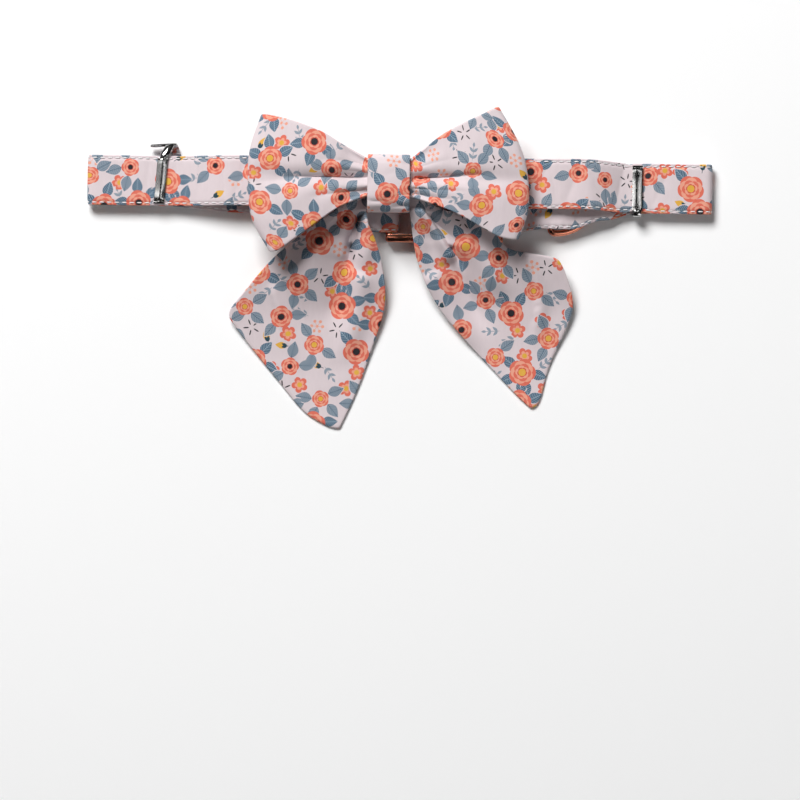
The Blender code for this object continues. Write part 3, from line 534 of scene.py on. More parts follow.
def draw_small_motifs(draw, colour, place):
    """Small blossoms, berries, sprigs, buds and strokes, over the ground."""
    cell = use_group(draw, "nearest_motif", Place=place, Spacing=SMALL_SPACING, Scatter=SMALL_SCATTER)
    near = use_group(draw, "nearest_motif", Place=cell["Centre"], **BLOSSOM_CELLS)
    clear = draw.sum("GREATER_THAN", draw.vector("LENGTH", near["Local"]), SMALL_CLEARANCE)
    local = cell["Local"]

    def lay(kind, ink_name, mask):
        nonlocal colour
        chosen = in_band(draw, cell["Kind"], *KINDS[kind])
        shown = draw.sum("MULTIPLY", mask, draw.sum("MULTIPLY", clear, chosen))
        colour = draw.over(colour, INKS[ink_name], shown)

    arm, _ = sector(draw, local, 6)
    lay("berries", "peach", stroke(draw, arm, *BERRY_STALK))
    lay("berries", "peach", disc(draw, shifted(draw, arm, BERRY_PLACE), BERRY_RADIUS))
    lay("berries", "peach", disc(draw, local, BERRY_HEART))

    x, y = draw.split(local)
    pair = draw.join(x, draw.sum("ABSOLUTE", y))
    lay("sprig", "slate", stroke(draw, local, *SPRIG_STEM))
    for start in SPRIG_LEAF_PLACES:
        leaf_place = draw.turned(shifted(draw, pair, start), SPRIG_LEAF_TURN)
        leaf = use_group(draw, "leaf", Place=leaf_place, **SPRIG_LEAF)
        lay("sprig", "slate", leaf["Mask"])
    tip = use_group(draw, "leaf", Place=shifted(draw, local, SPRIG_TIP_PLACE), **SPRIG_TIP)
    lay("sprig", "slate", tip["Mask"])

    petals = use_group(draw, "petals", Place=local, **SMALL_PETALS)
    lay("small_blossom", "coral", petals["Mask"])
    inner = use_group(draw, "petals", Place=local, **INNER_PETALS)
    lay("small_blossom", "peach", inner["Mask"])
    lay("small_blossom", "mustard", disc(draw, local, SMALL_HEART))

    bud = use_group(draw, "leaf", Place=shifted(draw, local, BUD_PLACE), **BUD)
    lay("bud", "mustard", bud["Mask"])
    sepal_place = draw.turned(shifted(draw, pair, SEPAL_PLACE), SEPAL_TURN)
    sepal = use_group(draw, "leaf", Place=sepal_place, **SEPAL)
    lay("bud", "deep_teal", sepal["Mask"])
    lay("bud", "deep_teal", stroke(draw, local, *BUD_STALK))

    ray, _ = sector(draw, local, 5)
    lay("strokes", "night", stroke(draw, ray, *RAY))
    return colour


# %% The leaves and the large blossoms
LEAVES = 5
LEAF_REACH = 0.0036
LEAF_LENGTH = 0.0066
LEAF_WIDTH = 0.0042
LEAF_HALO = 0.00035
LEAVES_MISSING = 0.34
LEAN_MIDDLE = 0.66
LEAF_LEAN = 0.9
PALE_LEAVES = 0.62
CHANCE_STRETCH = 91.0
BLOSSOM_RADIUS = 0.0045
BLOSSOM_SMALLEST = 0.74
BLOSSOM_GROWTH = 0.52
HEART_SHARE = 0.27
MUSTARD_HEARTS = 0.35
# Rings of petals from the outside in: ink, share of the radius, notch, turn in radians
PETAL_RINGS = (
    ("coral", 1.00, 0.16, 0.0),
    ("peach", 0.84, 0.20, 0.6),
    ("coral", 0.66, 0.22, 0.1),
    ("peach", 0.50, 0.24, 0.7),
    ("rose", 0.36, 0.20, 0.3),
)


def draw_leaves(draw, colour, cell):
    """Up to five veined leaves round a large blossom, some of them left out by chance."""
    arm, number = sector(draw, cell["Local"], LEAVES)
    pick = draw.node("ShaderNodeTexWhiteNoise", noise_dimensions="2D")
    chance = draw.sum("MULTIPLY", cell["Chance"], CHANCE_STRETCH)
    draw.put(draw.join(number, chance), pick.inputs["Vector"])
    shown = draw.sum("GREATER_THAN", pick.outputs["Value"], LEAVES_MISSING)
    lean = draw.sum("SUBTRACT", pick.outputs["Value"], LEAN_MIDDLE)
    lean = draw.sum("MULTIPLY", lean, LEAF_LEAN)
    place = draw.turned(shifted(draw, arm, LEAF_REACH), lean)
    leaf = use_group(draw, "leaf", Place=place, Length=LEAF_LENGTH, Width=LEAF_WIDTH)
    mask = draw.sum("MULTIPLY", leaf["Mask"], shown)
    wider = {"Length": LEAF_LENGTH + 2 * LEAF_HALO, "Width": LEAF_WIDTH + 2 * LEAF_HALO}
    halo = use_group(draw, "leaf", Place=shifted(draw, place, -LEAF_HALO), **wider)
    colour = draw.over(colour, INKS["ground"], draw.sum("MULTIPLY", halo["Mask"], shown))
    dark = draw.sum("GREATER_THAN", cell["Chance"], PALE_LEAVES)
    leaf_ink = draw.over(INKS["slate"], INKS["teal"], dark)
    vein_ink = draw.over(INKS["teal"], INKS["pale_slate"], dark)
    colour = draw.over(colour, leaf_ink, mask)
    return draw.over(colour, vein_ink, draw.sum("MULTIPLY", leaf["Vein"], shown))


def draw_blossoms(draw, colour, cell):
    """Large blossoms in rings of petals, with a dark or a mustard heart. Their sizes differ."""
    grown = draw.sum("MULTIPLY", cell["Chance"], BLOSSOM_GROWTH)
    size = draw.sum("ADD", BLOSSOM_SMALLEST, grown)
    local = draw.scaled(cell["Local"], draw.sum("DIVIDE", 1.0, size))
    for ink_name, share, notch, turn in PETAL_RINGS:
        petals = {"Radius": BLOSSOM_RADIUS * share, "Petals": 5.0, "Notch": notch}
        ring = use_group(draw, "petals", Place=draw.turned(local, turn), **petals)
        colour = draw.over(colour, INKS[ink_name], ring["Mask"])
    dark = draw.sum("GREATER_THAN", cell["Kind"], MUSTARD_HEARTS)
    heart_ink = draw.over(INKS["mustard"], INKS["night"], dark)
    return draw.over(colour, heart_ink, disc(draw, local, HEART_SHARE * BLOSSOM_RADIUS))


# %% The floral
def make_floral():
    draw, given, out = new_group("ditsy_floral", [("Flat place", VECTOR, None)], [("Color", COLOUR)])
    place = given["Flat place"]
    colour = draw_small_motifs(draw, INKS["ground"], place)
    names = ("second_motif", "nearest_motif")
    cells = [use_group(draw, name, Place=place, **BLOSSOM_CELLS) for name in names]
    for cell in cells:
        colour = draw_leaves(draw, colour, cell)
    for cell in cells:
        colour = draw_blossoms(draw, colour, cell)
    draw.put(colour, out["Color"])


make_floral()
print("floral nodes:", len(bpy.data.node_groups["ditsy_floral"].nodes))

# %% [markdown]
# ## Weave and wear
#
# The ground cloth is a plain weave of fine cotton. Up close each thread rises over one neighbour
# and dips under the next, with painted shade in the dips, and the dye takes unevenly. They all
# come from the flat place, so they follow the cloth through its folds.

# %% Weave
THREAD = 0.00042
SLUB_SCALE = (900, 220, 1)
SLUB_HEIGHT = 0.6
BLOTCH_SCALE = 70.0
SLUB_SHADE = 0.10
BLOTCH_SHADE = 0.08
# Painted shade: the threads are lighter where they rise and darker in the dips of the weave
THREAD_DIP_SHADE = 0.05


def make_weave():
    outputs = [("Height", NUMBER), ("Shade", NUMBER)]
    draw, given, out = new_group("plain_weave", [("Flat place", VECTOR, None)], outputs)
    x, y = draw.split(given["Flat place"])
    warp = draw.sum("SINE", draw.sum("MULTIPLY", x, 2 * math.pi / THREAD))
    weft = draw.sum("SINE", draw.sum("MULTIPLY", y, 2 * math.pi / THREAD))
    checker = draw.sum("MULTIPLY", warp, weft)
    thread = draw.sum("MULTIPLY", draw.sum("ADD", checker, 1.0), 0.5)
    slub = draw.noise(draw.vector("MULTIPLY", given["Flat place"], SLUB_SCALE), 1.0, 2.0)
    draw.put(draw.sum("ADD", thread, draw.sum("MULTIPLY", slub, SLUB_HEIGHT)), out["Height"])
    blotch = draw.sum("MULTIPLY", draw.noise(given["Flat place"], BLOTCH_SCALE, 3.0), BLOTCH_SHADE)
    shade = draw.sum("ADD", draw.sum("MULTIPLY", slub, SLUB_SHADE), blotch)
    # The Shade output holds the dye's random tone and the painted shade in the weave's dips
    draw.put(draw.sum("ADD", shade, draw.sum("MULTIPLY", thread, THREAD_DIP_SHADE)), out["Shade"])


make_weave()
print(f"weave: a thread every {THREAD * 1000 / 2:.2f} mm")


# %% Printed cotton
MIDDLE_SHADE = (SLUB_SHADE + BLOTCH_SHADE + THREAD_DIP_SHADE) / 2
SHADE_STRENGTH = 0.5


def new_material(name):
    made = bpy.data.materials.new(name)
    made.use_nodes = True
    return made, Drawing(made.node_tree), made.node_tree.nodes["Principled BSDF"]


def add_bump(draw, shader, height, strength, depth):
    """Bump a material's surface by a height. A height of 1 stands out by the depth, in metres."""
    bump = draw.node("ShaderNodeBump")
    bump.inputs["Strength"].default_value = strength
    bump.inputs["Distance"].default_value = depth
    draw.put(height, bump.inputs["Height"])
    draw.put(bump.outputs[0], shader.inputs["Normal"])


def printed_cotton(name, shift, turn):
    """The printed cloth, its print moved and turned for each piece as its cut was."""
    made, draw, shader = new_material(name)
    flat = draw.node("ShaderNodeUVMap", uv_map="cloth").outputs[0]
    moved = draw.turned(draw.vector("ADD", flat, (shift[0], shift[1], 0)), turn)
    floral = use_group(draw, "ditsy_floral", Flat_place=moved)
    weave = use_group(draw, "plain_weave", Flat_place=flat)
    shade = draw.node("ShaderNodeBrightContrast")
    draw.put(floral["Color"], shade.inputs["Color"])
    # The weave's Shade brings the dye's uneven tone and the painted shade in the dips of the threads
    uneven = draw.sum("SUBTRACT", weave["Shade"], MIDDLE_SHADE)
    draw.put(draw.sum("MULTIPLY", uneven, SHADE_STRENGTH), shade.inputs["Bright"])
    draw.put(shade.outputs[0], shader.inputs["Base Color"])
    add_bump(draw, shader, weave["Height"], strength=0.25, depth=0.0001)
    shader.inputs["Roughness"].default_value = 0.85
    shader.inputs["Sheen Weight"].default_value = 0.12
    return made


strap_cotton = printed_cotton("strap_cotton", (0.004, 0.006), 0.0)
bow_cotton = printed_cotton("bow_cotton", (0.013, 0.071), 0.35)
tail_cotton = printed_cotton("tail_cotton", (0.031, 0.017), 0.5)
knot_cotton = printed_cotton("knot_cotton", (0.005, 0.043), 1.2)
print("cottons:", strap_cotton.name, bow_cotton.name, tail_cotton.name, knot_cotton.name)

# %% [markdown]
# ## Metals and thread
#
# The buckle and the ring are cast metal with a rose gold plating, and the clips are bright nickelled
# steel. Polished metal shows little of its own: it shows the lights, broken by fine scratches and by
# dull patches from handling. One group gives both, and each metal takes its own amount of them.


# %% Metals
SCRATCHES_ALONG = (9000, 500, 500)
SCRATCHES_ACROSS = (500, 8000, 500)
PATCH_SCALE = 380.0
PATCH_LEVEL = 0.42
PATCH_EDGE = 3.0
DULL_ROUGHNESS = 0.12


def make_wear():
    inputs = [("Place", VECTOR, None), ("Amount", NUMBER, 1.0)]
    outputs = [("Scratches", NUMBER), ("Dullness", NUMBER)]
    draw, given, out = new_group("metal_wear", inputs, outputs)
    along = draw.noise(draw.vector("MULTIPLY", given["Place"], SCRATCHES_ALONG), 1.0, 1.0)
    across = draw.noise(draw.vector("MULTIPLY", given["Place"], SCRATCHES_ACROSS), 1.0, 1.0)
    draw.put(draw.sum("MULTIPLY", draw.sum("MAXIMUM", along, across), given["Amount"]), out["Scratches"])
    patches = draw.noise(given["Place"], PATCH_SCALE, 4.0)
    shown = draw.sum("MULTIPLY", draw.sum("SUBTRACT", patches, PATCH_LEVEL), PATCH_EDGE)
    inside = draw.sum("MINIMUM", draw.sum("MAXIMUM", shown, 0.0), 1.0)
    draw.put(draw.sum("MULTIPLY", inside, given["Amount"]), out["Dullness"])


def polished_metal(name, colour, dull_colour, roughness, amount):
    """Bright metal whose colour and gloss fade a little in its dull patches."""
    made, draw, shader = new_material(name)
    place = draw.node("ShaderNodeTexCoord").outputs["Object"]
    wear = use_group(draw, "metal_wear", Place=place, Amount=amount)
    draw.put(draw.over(colour, dull_colour, wear["Dullness"]), shader.inputs["Base Color"])
    gloss = draw.sum("ADD", draw.sum("MULTIPLY", wear["Dullness"], DULL_ROUGHNESS), roughness)
    draw.put(gloss, shader.inputs["Roughness"])
    add_bump(draw, shader, wear["Scratches"], strength=0.02, depth=0.0001)
    shader.inputs["Metallic"].default_value = 1.0
    return made


make_wear()
rose_gold = polished_metal("rose_gold", ink(232, 148, 120), ink(204, 120, 95), 0.16, 0.3)
nickel = polished_metal("bright_nickel", ink(214, 213, 212), ink(172, 172, 174), 0.12, 0.25)
print("metals:", rose_gold.name, nickel.name)


# %% Sewing thread
TWIST_SCALE = 1100.0


def sewing_thread():
    """White polyester thread: two plies twisted together, with a soft shine."""
    made, draw, shader = new_material("white_thread")
    place = draw.node("ShaderNodeTexCoord").outputs["Object"]
    twist = draw.node("ShaderNodeTexWave", wave_type="BANDS", bands_direction="DIAGONAL")
    draw.put(place, twist.inputs["Vector"])
    twist.inputs["Scale"].default_value = TWIST_SCALE
    ply_colour = draw.over(ink(255, 253, 252), ink(226, 222, 224), twist.outputs["Fac"])
    draw.put(ply_colour, shader.inputs["Base Color"])
    add_bump(draw, shader, twist.outputs["Fac"], strength=0.4, depth=0.00008)
    shader.inputs["Roughness"].default_value = 0.45
    shader.inputs["Sheen Weight"].default_value = 0.3
    return made


white_thread = sewing_thread()
print("thread:", white_thread.name)

# %% [markdown]
# ## The strap's route
#
# The strap is one long strip: it starts where it is sewn back at one bar of the buckle, runs to the
# left fold, over the top as the front strand, round the right fold, and back to the buckle's other
# bar. A point on it needs a place along X, a height and a small sway in Y. Short tables give them.

# %% Places that the strap passes
tongue_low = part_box("buckle_tongue")[0]
socket_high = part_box("buckle_socket")[1]
clip_low, clip_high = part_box("strap_clip_right")
CLIP_X = (clip_low.x + clip_high.x) / 2
CLIP_WIDTH = 0.0042
CLIP_STEEL = 0.0007
BUCKLE_BAR = 0.0026
BUCKLE_WIDTH = 0.0276
DOUBLED_BACK = 0.027
SEWN_PAST_RING = 0.003
RING_WIRE = 0.0026
RING_REACH = 0.0165
RING_SWAY = LINE_Y - RING_PIVOT.y
HALF_STRAP = STRAP_WALL / 2
LEFT_BAR_X = tongue_low.x + BUCKLE_BAR / 2
RIGHT_BAR_X = socket_high.x - BUCKLE_BAR / 2
BAR_Z = GAP + STRAP_WALL + GAP + BUCKLE_BAR / 2
BAR_TURN = BUCKLE_BAR / 2 + GAP + HALF_STRAP
OVER_BAR_Z = BAR_Z + BAR_TURN
LOW_LAYER_Z = GAP + HALF_STRAP
SEWN_Z = LOW_LAYER_Z + STRAP_WALL + GAP
OVER_RING_Z = RING_PIVOT.z + RING_WIRE / 2 + GAP + HALF_STRAP
REAR_Z = CLIP_STEEL + GAP + HALF_STRAP
FRONT_END_Z = REAR_Z + STRAP_WALL + GAP
FOLD_RADIUS = (FRONT_END_Z - REAR_Z) / 2
FOLD_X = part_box("strap")[1].x - FOLD_RADIUS - HALF_STRAP
KNOT_FLOOR = knot_low.z
FRONT_Z = KNOT_FLOOR + CLOTH_WALL + GAP + HALF_STRAP

print(f"clips at x = +-{CLIP_X * 1000:.1f} mm, front strand at the knot at z = {FRONT_Z * 1000:.2f} mm")

# %% Tables of the two strands
# Sway of the rear strand towards -Y: place along X, sway
REAR_LINE = [
    (-CLIP_X, 0.0),
    (-0.66 * CLIP_X, 0.24 * REAR_SWAY),
    (LEFT_BAR_X - DOUBLED_BACK, 0.82 * REAR_SWAY),
    (tongue_low.x, REAR_SWAY),
    (socket_high.x, REAR_SWAY),
    (RING_X - 0.14 * RING_REACH, RING_SWAY),
    (RING_X + 0.46 * RING_REACH, RING_SWAY),
    (0.86 * CLIP_X, 0.33 * REAR_SWAY),
    (CLIP_X, 0.0),
]

# Height of the rear strand: place along X, height of its middle
REAR_HEIGHTS = [
    (-CLIP_X - CLIP_WIDTH, REAR_Z),
    (-CLIP_X + CLIP_WIDTH, REAR_Z),
    (-0.62 * CLIP_X, LOW_LAYER_Z),
    (LEFT_BAR_X - 1.30 * DOUBLED_BACK, SEWN_Z),
    (LEFT_BAR_X - 0.45 * DOUBLED_BACK, SEWN_Z),
    (LEFT_BAR_X, OVER_BAR_Z),
]
RING_SIDE_HEIGHTS = [
    (RIGHT_BAR_X, OVER_BAR_Z),
    (RIGHT_BAR_X + 0.45 * (RING_X - RIGHT_BAR_X), SEWN_Z),
    (RING_X - 0.9 * RING_WIRE, OVER_RING_Z),
    (RING_X + 1.1 * RING_WIRE, OVER_RING_Z),
    (RING_X + 0.66 * RING_REACH, RING_WIRE + GAP + STRAP_WALL),
    (RING_X + RING_REACH + RING_WIRE, RING_WIRE + GAP + STRAP_WALL),
    (CLIP_X - CLIP_WIDTH, REAR_Z),
    (CLIP_X + CLIP_WIDTH, REAR_Z),
]

# The front strand: place along X, height as a share from its ends to the knot, rise in Y
FRONT_SHAPE = [
    (-CLIP_X + 0.7 * CLIP_WIDTH, 0.00, 0.0000),
    (-0.68 * CLIP_X, 0.66, 0.0006),
    (-0.44 * CLIP_X, 0.92, 0.0004),
    (BOW_X - 0.7 * KNOT_WIDTH, 1.00, 0.0000),
    (BOW_X + 0.7 * KNOT_WIDTH, 1.00, 0.0000),
    (0.56 * CLIP_X, 0.99, 0.0010),
    (0.78 * CLIP_X, 0.84, 0.0012),
    (CLIP_X - 0.7 * CLIP_WIDTH, 0.00, 0.0000),
]


def front_middle(x):
    height = FRONT_END_Z + (FRONT_Z - FRONT_END_Z) * read_table(FRONT_SHAPE, x, 1)
    return height, read_table(FRONT_SHAPE, x, 2)


def rear_middle(x):
    heights = REAR_HEIGHTS if x < BOW_X else RING_SIDE_HEIGHTS
    return read_table(heights, x), -read_table(REAR_LINE, x)


print(f"rear strand under the knot: {rear_middle(BOW_X)[0] * 1000:.2f} mm high")


# %% The strap's middle line
LINE_STEP = 0.0006
STATIONS = 140
FOLD_STEPS = 12


def strap_line():
    """The middle of the strap from its left sewn end to its right one, in small steps."""
    line = []

    def straight(start, stop, place):
        for i in range(STATIONS):
            x = start + (stop - start) * i / (STATIONS - 1)
            z, y = place(x)
            line.append(Vector((x, LINE_Y + y, z)))

    def bend(x, z, radius, start, stop, y):
        for i in range(1, FOLD_STEPS):
            angle = math.radians(start + (stop - start) * i / FOLD_STEPS)
            turned_x, turned_z = x + radius * math.cos(angle), z + radius * math.sin(angle)
            line.append(Vector((turned_x, LINE_Y + y, turned_z)))

    def low_layer(x):
        return LOW_LAYER_Z, rear_middle(x)[1]

    middle_z = REAR_Z + FOLD_RADIUS
    straight(LEFT_BAR_X - DOUBLED_BACK, LEFT_BAR_X, low_layer)
    bend(LEFT_BAR_X, BAR_Z, BAR_TURN, -90, 90, -REAR_SWAY)
    straight(LEFT_BAR_X, -FOLD_X, rear_middle)
    bend(-FOLD_X, middle_z, FOLD_RADIUS, 270, 90, 0)
    straight(-FOLD_X, FOLD_X, front_middle)
    bend(FOLD_X, middle_z, FOLD_RADIUS, 90, -90, 0)
    straight(FOLD_X, RIGHT_BAR_X, rear_middle)
    bend(RIGHT_BAR_X, BAR_Z, BAR_TURN, 90, 270, -REAR_SWAY)
    straight(RIGHT_BAR_X, RING_X + SEWN_PAST_RING, low_layer)
    return even_line(line, spacing=LINE_STEP)


route = strap_line()

# %% [markdown]
# ## The strap
#
# The real strap is cotton sewn over webbing, so its section is a thin cushion that is pulled in
# along both lines of stitches. A curve with a bevel could carry that section, but then nothing
# could dent it. Here a loop lays the section at each station, and adds the puckers between the
# stitches, the soft ripples of the cloth and the cross creases beside the clips and the bow.

# %% The strap's section and its dents
STITCH_LINE = 0.89
STITCH_SPACING = 0.0030
# Half a face of the section: share of the half width, share of the half wall
HALF_FACE = [
    (0.00, 1.00), (0.14, 1.00), (0.28, 1.00), (0.42, 1.00), (0.56, 1.00), (0.68, 1.00), (0.77, 1.00),
    (0.83, 0.96), (0.862, 0.82), (STITCH_LINE, 0.64), (0.918, 0.80), (0.945, 0.86), (0.970, 0.78),
    (0.988, 0.54), (1.0, 0.20),
]

# Creases across the front strand: place along X, slant, depth, width, all in metres but the slant
STRAP_CREASES = [
    (-0.1010, 0.10, 0.00030, 0.0010),
    (-0.0885, -0.15, 0.00045, 0.0012),
    (-0.0790, 0.25, 0.00030, 0.0016),
    (-0.0705, -0.10, 0.00035, 0.0012),
    (-0.0640, 0.30, 0.00040, 0.0014),
    (0.0560, 0.35, 0.00045, 0.0018),
    (0.0610, -0.20, 0.00030, 0.0012),
    (0.0690, 0.40, 0.00050, 0.0020),
    (0.0780, -0.35, 0.00040, 0.0016),
    (0.0875, 0.20, 0.00050, 0.0012),
    (0.0990, -0.25, 0.00050, 0.0012),
    (0.1040, 0.45, 0.00035, 0.0016),
]


# Soft unevenness of the strap's cloth: depth and size of its hills in metres, seed
STRAP_RIPPLES = ((0.00009, 0.007, 3.1), (0.00006, 0.0025, 7.7))
PUCKER_DEPTH = 0.00020
PUCKER_WIDTH = 0.05
# How much a face has to look up to take the creases, where across it the dents end, and the deepest
# dent as a share of the section's own height
FACES_UP = 0.7
DENTS_END = 0.98
DEEPEST_DENT = 0.6

# Where a clip grips the front strand: place along X, how far it draws in the top and the low edge
PINCHES = ((CLIP_X, 0.0012, 0.0009), (-CLIP_X, 0.0003, 0.0003))
PINCH_REACH = 0.0042


def whole_section():
    """Once round the strap: share of the half width, share of the half wall."""
    face = [(-y, n) for y, n in reversed(HALF_FACE[1:])] + HALF_FACE
    return face + [(y, -n) for y, n in reversed(face)]


def strap_dent(x, y, along, across, front):
    """How far the cloth lies below the section's own face."""
    dent = sum(depth * (1 + ripple(along, y, size, seed)) for depth, size, seed in STRAP_RIPPLES)
    pull = crease(abs(abs(across) - STITCH_LINE), PUCKER_WIDTH)
    dent += PUCKER_DEPTH * pull * (1 - math.cos(2 * math.pi * along / STITCH_SPACING))
    if front:
        for place, slant, depth, width in STRAP_CREASES:
            dent += depth * crease(abs(x - place - slant * y), width) * (1 - across**4)
    return dent


def pinched(middle, y):
    """A place across the strap, drawn in where a clip grips the front strand."""
    if middle.z < REAR_Z + FOLD_RADIUS:
        return y
    for place, top, low in PINCHES:
        near = math.exp(-(((middle.x - place) / PINCH_REACH) ** 2))
        y -= near * (top if y > 0 else low) * y / (STRAP_WIDTH / 2)
    return y


# %% Rings of the strap
def make_strap():
    section = whole_section()
    rings, places, along = [], [], 0.0
    for i, middle in enumerate(route):
        before, after = route[max(i - 1, 0)], route[min(i + 1, len(route) - 1)]
        along += (middle - before).length
        out = Vector((before.z - after.z, 0, after.x - before.x)).normalized()
        ring, ring_places, round_it = [], [], 0.0
        for k, (across, wall) in enumerate(section):
            y = pinched(middle, across * STRAP_WIDTH / 2)
            front = middle.z > REAR_Z + FOLD_RADIUS and out.z > FACES_UP and wall > 0
            front = front and after.x > before.x
            dented = abs(across) < DENTS_END
            depth = strap_dent(middle.x, y, along, across, front) if dented else 0.0
            depth = min(depth, DEEPEST_DENT * abs(wall) * HALF_STRAP)
            height = wall * HALF_STRAP - math.copysign(depth, wall)
            ring.append(middle + Vector((0, y, 0)) + out * height)
            if k:
                last_across, last_wall = section[k - 1]
                step_y = (across - last_across) * STRAP_WIDTH / 2
                round_it += math.hypot(step_y, (wall - last_wall) * HALF_STRAP)
            ring_places.append((along, round_it))
        rings.append(ring)
        places.append(ring_places)
    return rings, places


strap_rings, strap_places = make_strap()
print("strap section points:", len(strap_rings[0]))


# %% A skin over closed rings
def skinned(name, rings, places, finish, hard_edge=None):
    """A closed mesh through rings of points, capped at both ends, with its flat places as a UV map."""
    bm = bmesh.new()
    uv = bm.loops.layers.uv.new("cloth")
    made = [[bm.verts.new(p) for p in ring] for ring in rings]
    count = len(rings[0])
    for i in range(len(rings) - 1):
        for k in range(count):
            corners = ((i, k), (i, k + 1), (i + 1, k + 1), (i + 1, k))
            face = bm.faces.new([made[a][b % count] for a, b in corners])
            for loop, (a, b) in zip(face.loops, corners):
                u, v = places[a][b % count]
                if b == count:
                    v = places[a][-1][1] + places[a][1][1]
                loop[uv].uv = (u, v)
    for ring in (made[0], made[-1]):
        bm.faces.new(ring)
    bmesh.ops.recalc_face_normals(bm, faces=bm.faces)
    mesh = bpy.data.meshes.new(name)
    bm.to_mesh(mesh)
    bm.free()
    return settled(new_piece(name, mesh, finish), hard_edge)


strap = skinned("printed_strap", strap_rings, strap_places, strap_cotton)
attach(strap, ROOT)
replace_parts(strap, "strap")

# %% [markdown]
# ## Stitches along the strap
#
# White running stitches follow both edges, on both faces. Placing some hundreds by hand is no work
# for a person, and one mesh per stitch is heavy. Geometry Nodes resample the seam lines at the
# stitch spacing and put one short capsule of thread at each point, turned along the seam.


# %% Seam lines and the stitch tree
def seam_curve(name, lines):
    """One curve object with a straight-pointed spline for each line of points."""
    curve = bpy.data.curves.new(name, "CURVE")
    curve.dimensions = "3D"
    for line in lines:
        spline = curve.splines.new("POLY")
        spline.points.add(len(line) - 1)
        for point, place in zip(spline.points, line):
            point.co = (*place, 1)
    obj = bpy.data.objects.new(name, curve)
    bpy.context.scene.collection.objects.link(obj)
    return obj


def stitch_tree():
    """Geometry Nodes that lay capsules of thread along curves."""
    tree = bpy.data.node_groups.new("running_stitch", "GeometryNodeTree")
    new_socket = tree.interface.new_socket
    new_socket("Geometry", in_out="OUTPUT", socket_type="NodeSocketGeometry")
    new_socket("Geometry", in_out="INPUT", socket_type="NodeSocketGeometry")
    for label in ("Spacing", "Length", "Thickness"):
        new_socket(label, in_out="INPUT", socket_type="NodeSocketFloat")
    new_socket("Thread", in_out="INPUT", socket_type="NodeSocketMaterial")
    nodes, link = tree.nodes, tree.links.new
    given = nodes.new("NodeGroupInput").outputs
    points = nodes.new("GeometryNodeResampleCurve")
    points.mode = "LENGTH"
    link(given["Geometry"], points.inputs["Curve"])
    link(given["Spacing"], points.inputs["Length"])
    ball = nodes.new("GeometryNodeMeshUVSphere")
    ball.inputs["Segments"].default_value = 6
    ball.inputs["Rings"].default_value = 5
    ball.inputs["Radius"].default_value = 0.5
    size = nodes.new("ShaderNodeCombineXYZ")
    link(given["Length"], size.inputs["X"])
    link(given["Thickness"], size.inputs["Y"])
    link(given["Thickness"], size.inputs["Z"])
    capsule = nodes.new("GeometryNodeTransform")
    link(ball.outputs["Mesh"], capsule.inputs["Geometry"])
    link(size.outputs[0], capsule.inputs["Scale"])
    tangent = nodes.new("GeometryNodeInputTangent")
    turned = nodes.new("FunctionNodeAlignRotationToVector")
    turned.axis = "X"
    link(tangent.outputs[0], turned.inputs["Vector"])
    placed = nodes.new("GeometryNodeInstanceOnPoints")
    link(points.outputs[0], placed.inputs["Points"])
    link(capsule.outputs[0], placed.inputs["Instance"])
    link(turned.outputs[0], placed.inputs["Rotation"])
    real = nodes.new("GeometryNodeRealizeInstances")
    link(placed.outputs[0], real.inputs[0])
    smooth = nodes.new("GeometryNodeSetShadeSmooth")
    link(real.outputs[0], smooth.inputs[0])
    dressed = nodes.new("GeometryNodeSetMaterial")
    link(smooth.outputs[0], dressed.inputs["Geometry"])
    link(given["Thread"], dressed.inputs["Material"])
    link(dressed.outputs[0], nodes.new("NodeGroupOutput").inputs[0])
    return tree


def sewn(curve, spacing, length, thickness):
    """The stitches along a curve object, as a plain mesh piece of the same name."""
    step = curve.modifiers.new("stitches", "NODES")
    step.node_group = running_stitch
    values = {"Spacing": spacing, "Length": length, "Thickness": thickness, "Thread": white_thread}
    for socket in running_stitch.interface.items_tree:
        if socket.in_out == "INPUT" and socket.name in values:
            step[socket.identifier] = values[socket.name]
    graph = bpy.context.evaluated_depsgraph_get()
    mesh = bpy.data.meshes.new_from_object(curve.evaluated_get(graph))
    name = curve.name
    bpy.data.objects.remove(curve)
    obj = bpy.data.objects.new(name, mesh)
    bpy.context.scene.collection.objects.link(obj)
    print(f"{name}: {len(mesh.polygons)} faces")
    return obj


running_stitch = stitch_tree()

# %% Stitches on both faces
STITCH_LENGTH = 0.0023
THREAD_THICKNESS = 0.00058
SEAM_DEPTH = 0.78
CROSS_ROW_DEPTH = 0.93
# Rows that hold the doubled ends: place along X, face of the strap that shows them
CROSS_ROWS = [
    (LEFT_BAR_X - 0.92 * DOUBLED_BACK, -1),
    (LEFT_BAR_X - 0.22 * DOUBLED_BACK, -1),
    (RIGHT_BAR_X + 0.0065, -1),
    (RING_X - 0.0040, -1),
]


def seam_lines():
    lines = []
    for side in (-1, 1):
        for face in (-1, 1):
            line = []
            for i in range(1, len(route) - 1):
                run = route[i + 1] - route[i - 1]
                out = Vector((-run.z, 0, run.x)).normalized()
                across = pinched(route[i], side * STITCH_LINE * STRAP_WIDTH / 2)
                sunk = out * face * HALF_STRAP * SEAM_DEPTH
                line.append(route[i] + Vector((0, across, 0)) + sunk)
            lines.append(line)
    for x, face in CROSS_ROWS:
        y = LINE_Y + rear_middle(x)[1]
        low_z = LOW_LAYER_Z + face * HALF_STRAP * CROSS_ROW_DEPTH
        half = STITCH_LINE * STRAP_WIDTH / 2
        lines.append([Vector((x, y - half, low_z)), Vector((x, y + half, low_z))])
    return lines


seams = seam_curve("strap_stitches", seam_lines())
stitches = sewn(seams, STITCH_SPACING, STITCH_LENGTH, THREAD_THICKNESS)
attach(stitches, ROOT)

# %% [markdown]
# ## The bow
#
# The bow is a flat tube of cloth pinched in the middle. A cloth simulation could pinch it, but its
# folds would land where they like, and the photograph shows where they lie. So the loops are drawn
# by rule: edges that flare from the knot, an outer fold, a hollow between two layers, and creases
# that start at the knot and die away.

